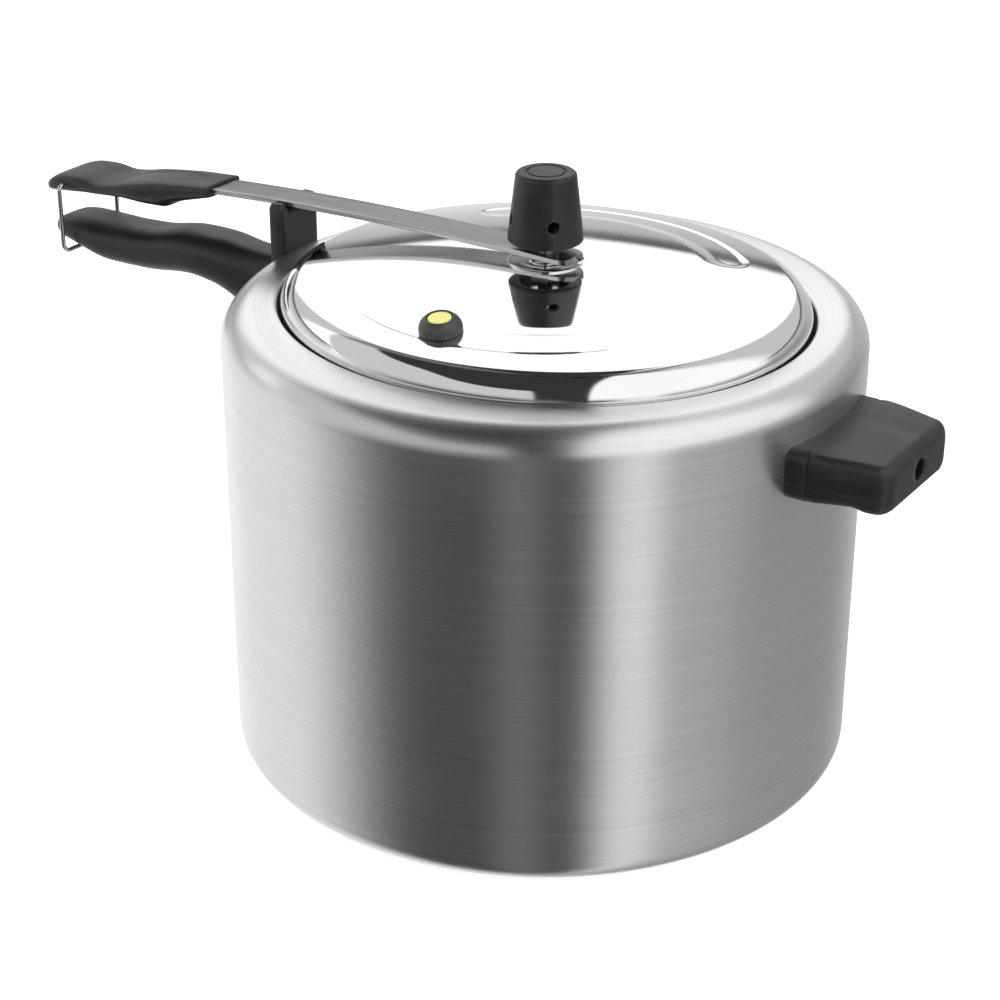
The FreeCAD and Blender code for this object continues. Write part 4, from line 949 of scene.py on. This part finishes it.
def studio_world():
    """World light by direction for reflections; even white for the camera and matt faces."""
    world = bpy.data.worlds.new("studio")
    world.use_nodes = True
    tree = world.node_tree
    tree.nodes.clear()

    def add(kind, **settings):
        made = tree.nodes.new(kind)
        for setting, value in settings.items():
            setattr(made, setting, value)
        return made

    def number(operation, first, second=0.0, third=0.0):
        made = add("ShaderNodeMath", operation=operation)
        for place, value in enumerate((first, second, third)):
            if isinstance(value, (int, float)):
                made.inputs[place].default_value = value
            else:
                tree.links.new(value, made.inputs[place])
        return made.outputs[0]

    direction = add("ShaderNodeTexCoord").outputs["Generated"]
    split = add("ShaderNodeSeparateXYZ")
    tree.links.new(direction, split.inputs["Vector"])
    bearing = number("ARCTAN2", split.outputs["Y"], split.outputs["X"])
    rise = number("ARCSINE", split.outputs["Z"])

    def ranged(value, low, high):
        """0 at low, 1 at high and beyond, smooth between."""
        made = add("ShaderNodeMapRange", interpolation_type="SMOOTHERSTEP")
        for socket, bound in (("From Min", low), ("From Max", high), ("Value", value)):
            if isinstance(bound, (int, float)):
                made.inputs[socket].default_value = bound
            else:
                tree.links.new(bound, made.inputs[socket])
        return made.outputs["Result"]

    def turned_from(place):
        """Angle between the direction's bearing and a place in degrees from the camera."""
        angle = number("SUBTRACT", bearing, math.radians(place - CAMERA_BEARING))
        return number("ABSOLUTE", number("WRAP", angle, math.pi, -math.pi))

    def boxes(base, lights):
        """Sum of upright boxes: bearing from the camera, half width, softness, light."""
        total = base
        for place, half, soft, strength in lights:
            share = ranged(turned_from(place), math.radians(half + soft),
                           math.radians(half - soft))
            total = number("MULTIPLY_ADD", share, strength, total)
        return total

    def between(share, first, second):
        return number("MULTIPLY_ADD", share, number("SUBTRACT", second, first), first)

    def along(bearing_of_axis):
        """Share of the direction along a level axis of the given bearing."""
        made = add("ShaderNodeVectorMath", operation="DOT_PRODUCT")
        tree.links.new(direction, made.inputs[0])
        made.inputs[1].default_value = (math.cos(bearing_of_axis), math.sin(bearing_of_axis), 0)
        return made.outputs["Value"]

    # Low down, soft boxes with a dim gap towards the camera.  Higher up there is a bright
    # wall on the left under a dark ceiling, a brighter one on the right, and a dark gap over
    # the camera between them.  "over" is the angle from the horizon behind, up and over.
    lower = boxes(0.06, [(-128, 52, 34, 0.98), (31, 10, 9, 0.72), (-8, 8, 8, 0.15),
                         (100, 74, 18, 0.30), (56, 16, 14, 0.14), (180, 36, 24, 0.35)])
    side = along(math.radians(90 - CAMERA_BEARING))
    away = number("MULTIPLY", along(math.radians(-CAMERA_BEARING)), -1.0)
    over = number("ARCTAN2", split.outputs["Z"], away)
    left_wall = ranged(side, -0.17, -0.21)
    right_wall = ranged(side, 0.16, 0.20)
    wall_top = between(ranged(turned_from(0), math.radians(22), math.radians(86)),
                       math.radians(33), math.radians(49))
    below_top = ranged(number("SUBTRACT", rise, wall_top), 0.05, 0.0)
    left_wall = number("MULTIPLY", left_wall, below_top)
    walls = number("MULTIPLY_ADD", left_wall, 0.72, 0.045)
    walls = number("MULTIPLY_ADD", right_wall, 1.25, walls)
    corner = boxes(0.0, [(137, 15, 4, 0.75), (-142, 12, 4, 0.62)])
    walls = number("MULTIPLY", walls, number("SUBTRACT", 1.0, corner))
    upper = between(ranged(over, math.radians(53), math.radians(49)), walls, 1.45)
    behind = ranged(away, 0.05, 0.35)
    upper = between(number("MULTIPLY", corner, behind), upper, 0.3)
    right_end = number("MULTIPLY", ranged(side, 0.26, 0.34), behind)
    upper = between(right_end, upper, 0.72)
    # Low behind the pot the wall is grey, darkest along its upper edge.
    skirting = ranged(rise, math.radians(9), math.radians(13.5))
    skirting = between(skirting, 0.62, 0.14)
    below = number("MULTIPLY", ranged(rise, math.radians(15), math.radians(13.5)), behind)
    upper = between(below, upper, skirting)
    light = between(ranged(rise, math.radians(-4), math.radians(13)), lower, upper)

    seen = add("ShaderNodeBackground")
    lit = add("ShaderNodeBackground")
    seen.inputs["Color"].default_value = (1, 1, 1, 1)
    seen.inputs["Strength"].default_value = 1.0
    tree.links.new(light, lit.inputs["Strength"])
    choose = add("ShaderNodeMixShader")
    path = add("ShaderNodeLightPath")
    plain = number("MAXIMUM", path.outputs["Is Camera Ray"], path.outputs["Is Diffuse Ray"])
    tree.links.new(plain, choose.inputs[0])
    tree.links.new(lit.outputs[0], choose.inputs[1])
    tree.links.new(seen.outputs[0], choose.inputs[2])
    tree.links.new(choose.outputs[0], add("ShaderNodeOutputWorld").inputs["Surface"])
    return world


bpy.context.scene.world = studio_world()

FLOOR_HALF = 6.0
floor_mesh = bpy.data.meshes.new("floor")
floor_mesh.from_pydata([(-FLOOR_HALF, -FLOOR_HALF, 0), (FLOOR_HALF, -FLOOR_HALF, 0),
                        (FLOOR_HALF, FLOOR_HALF, 0), (-FLOOR_HALF, FLOOR_HALF, 0)],
                       [], [(0, 1, 2, 3)])
floor = bpy.data.objects.new("floor", floor_mesh)
bpy.context.scene.collection.objects.link(floor)
paper = Finish("white_paper", (0.92, 0.92, 0.92), 0.0, 0.9,
               {"Emission Strength": 0.62, "Emission Color": (1, 1, 1, 1)})
floor_mesh.materials.append(paper.material)
floor.visible_glossy = False

# Camera: a long lens at a height of about half a metre, off the side handle's front.
camera_data = bpy.data.cameras.new("camera")
camera_data.sensor_width = 36.0
camera_data.lens = 85.67
camera = bpy.data.objects.new("camera", camera_data)
bpy.context.scene.collection.objects.link(camera)
TARGET = np.array([-0.0149, -0.0097, 0.1027])
FORWARD = np.array([-0.4902, 0.7549, -0.4357])
FORWARD /= np.linalg.norm(FORWARD)
DISTANCE = 0.9931
right = np.cross(FORWARD, [0, 0, 1.0])
right /= np.linalg.norm(right)
up = np.cross(right, FORWARD)
roll = math.radians(0.13)
turned_right = right * math.cos(roll) + up * math.sin(roll)
turned_up = up * math.cos(roll) - right * math.sin(roll)
pose = np.eye(4)
pose[:3, 0] = turned_right
pose[:3, 1] = turned_up
pose[:3, 2] = -FORWARD
pose[:3, 3] = TARGET - FORWARD * DISTANCE
camera.matrix_world = Matrix(pose.tolist())
bpy.context.scene.camera = camera
bpy.context.scene.view_settings.view_transform = "Standard"
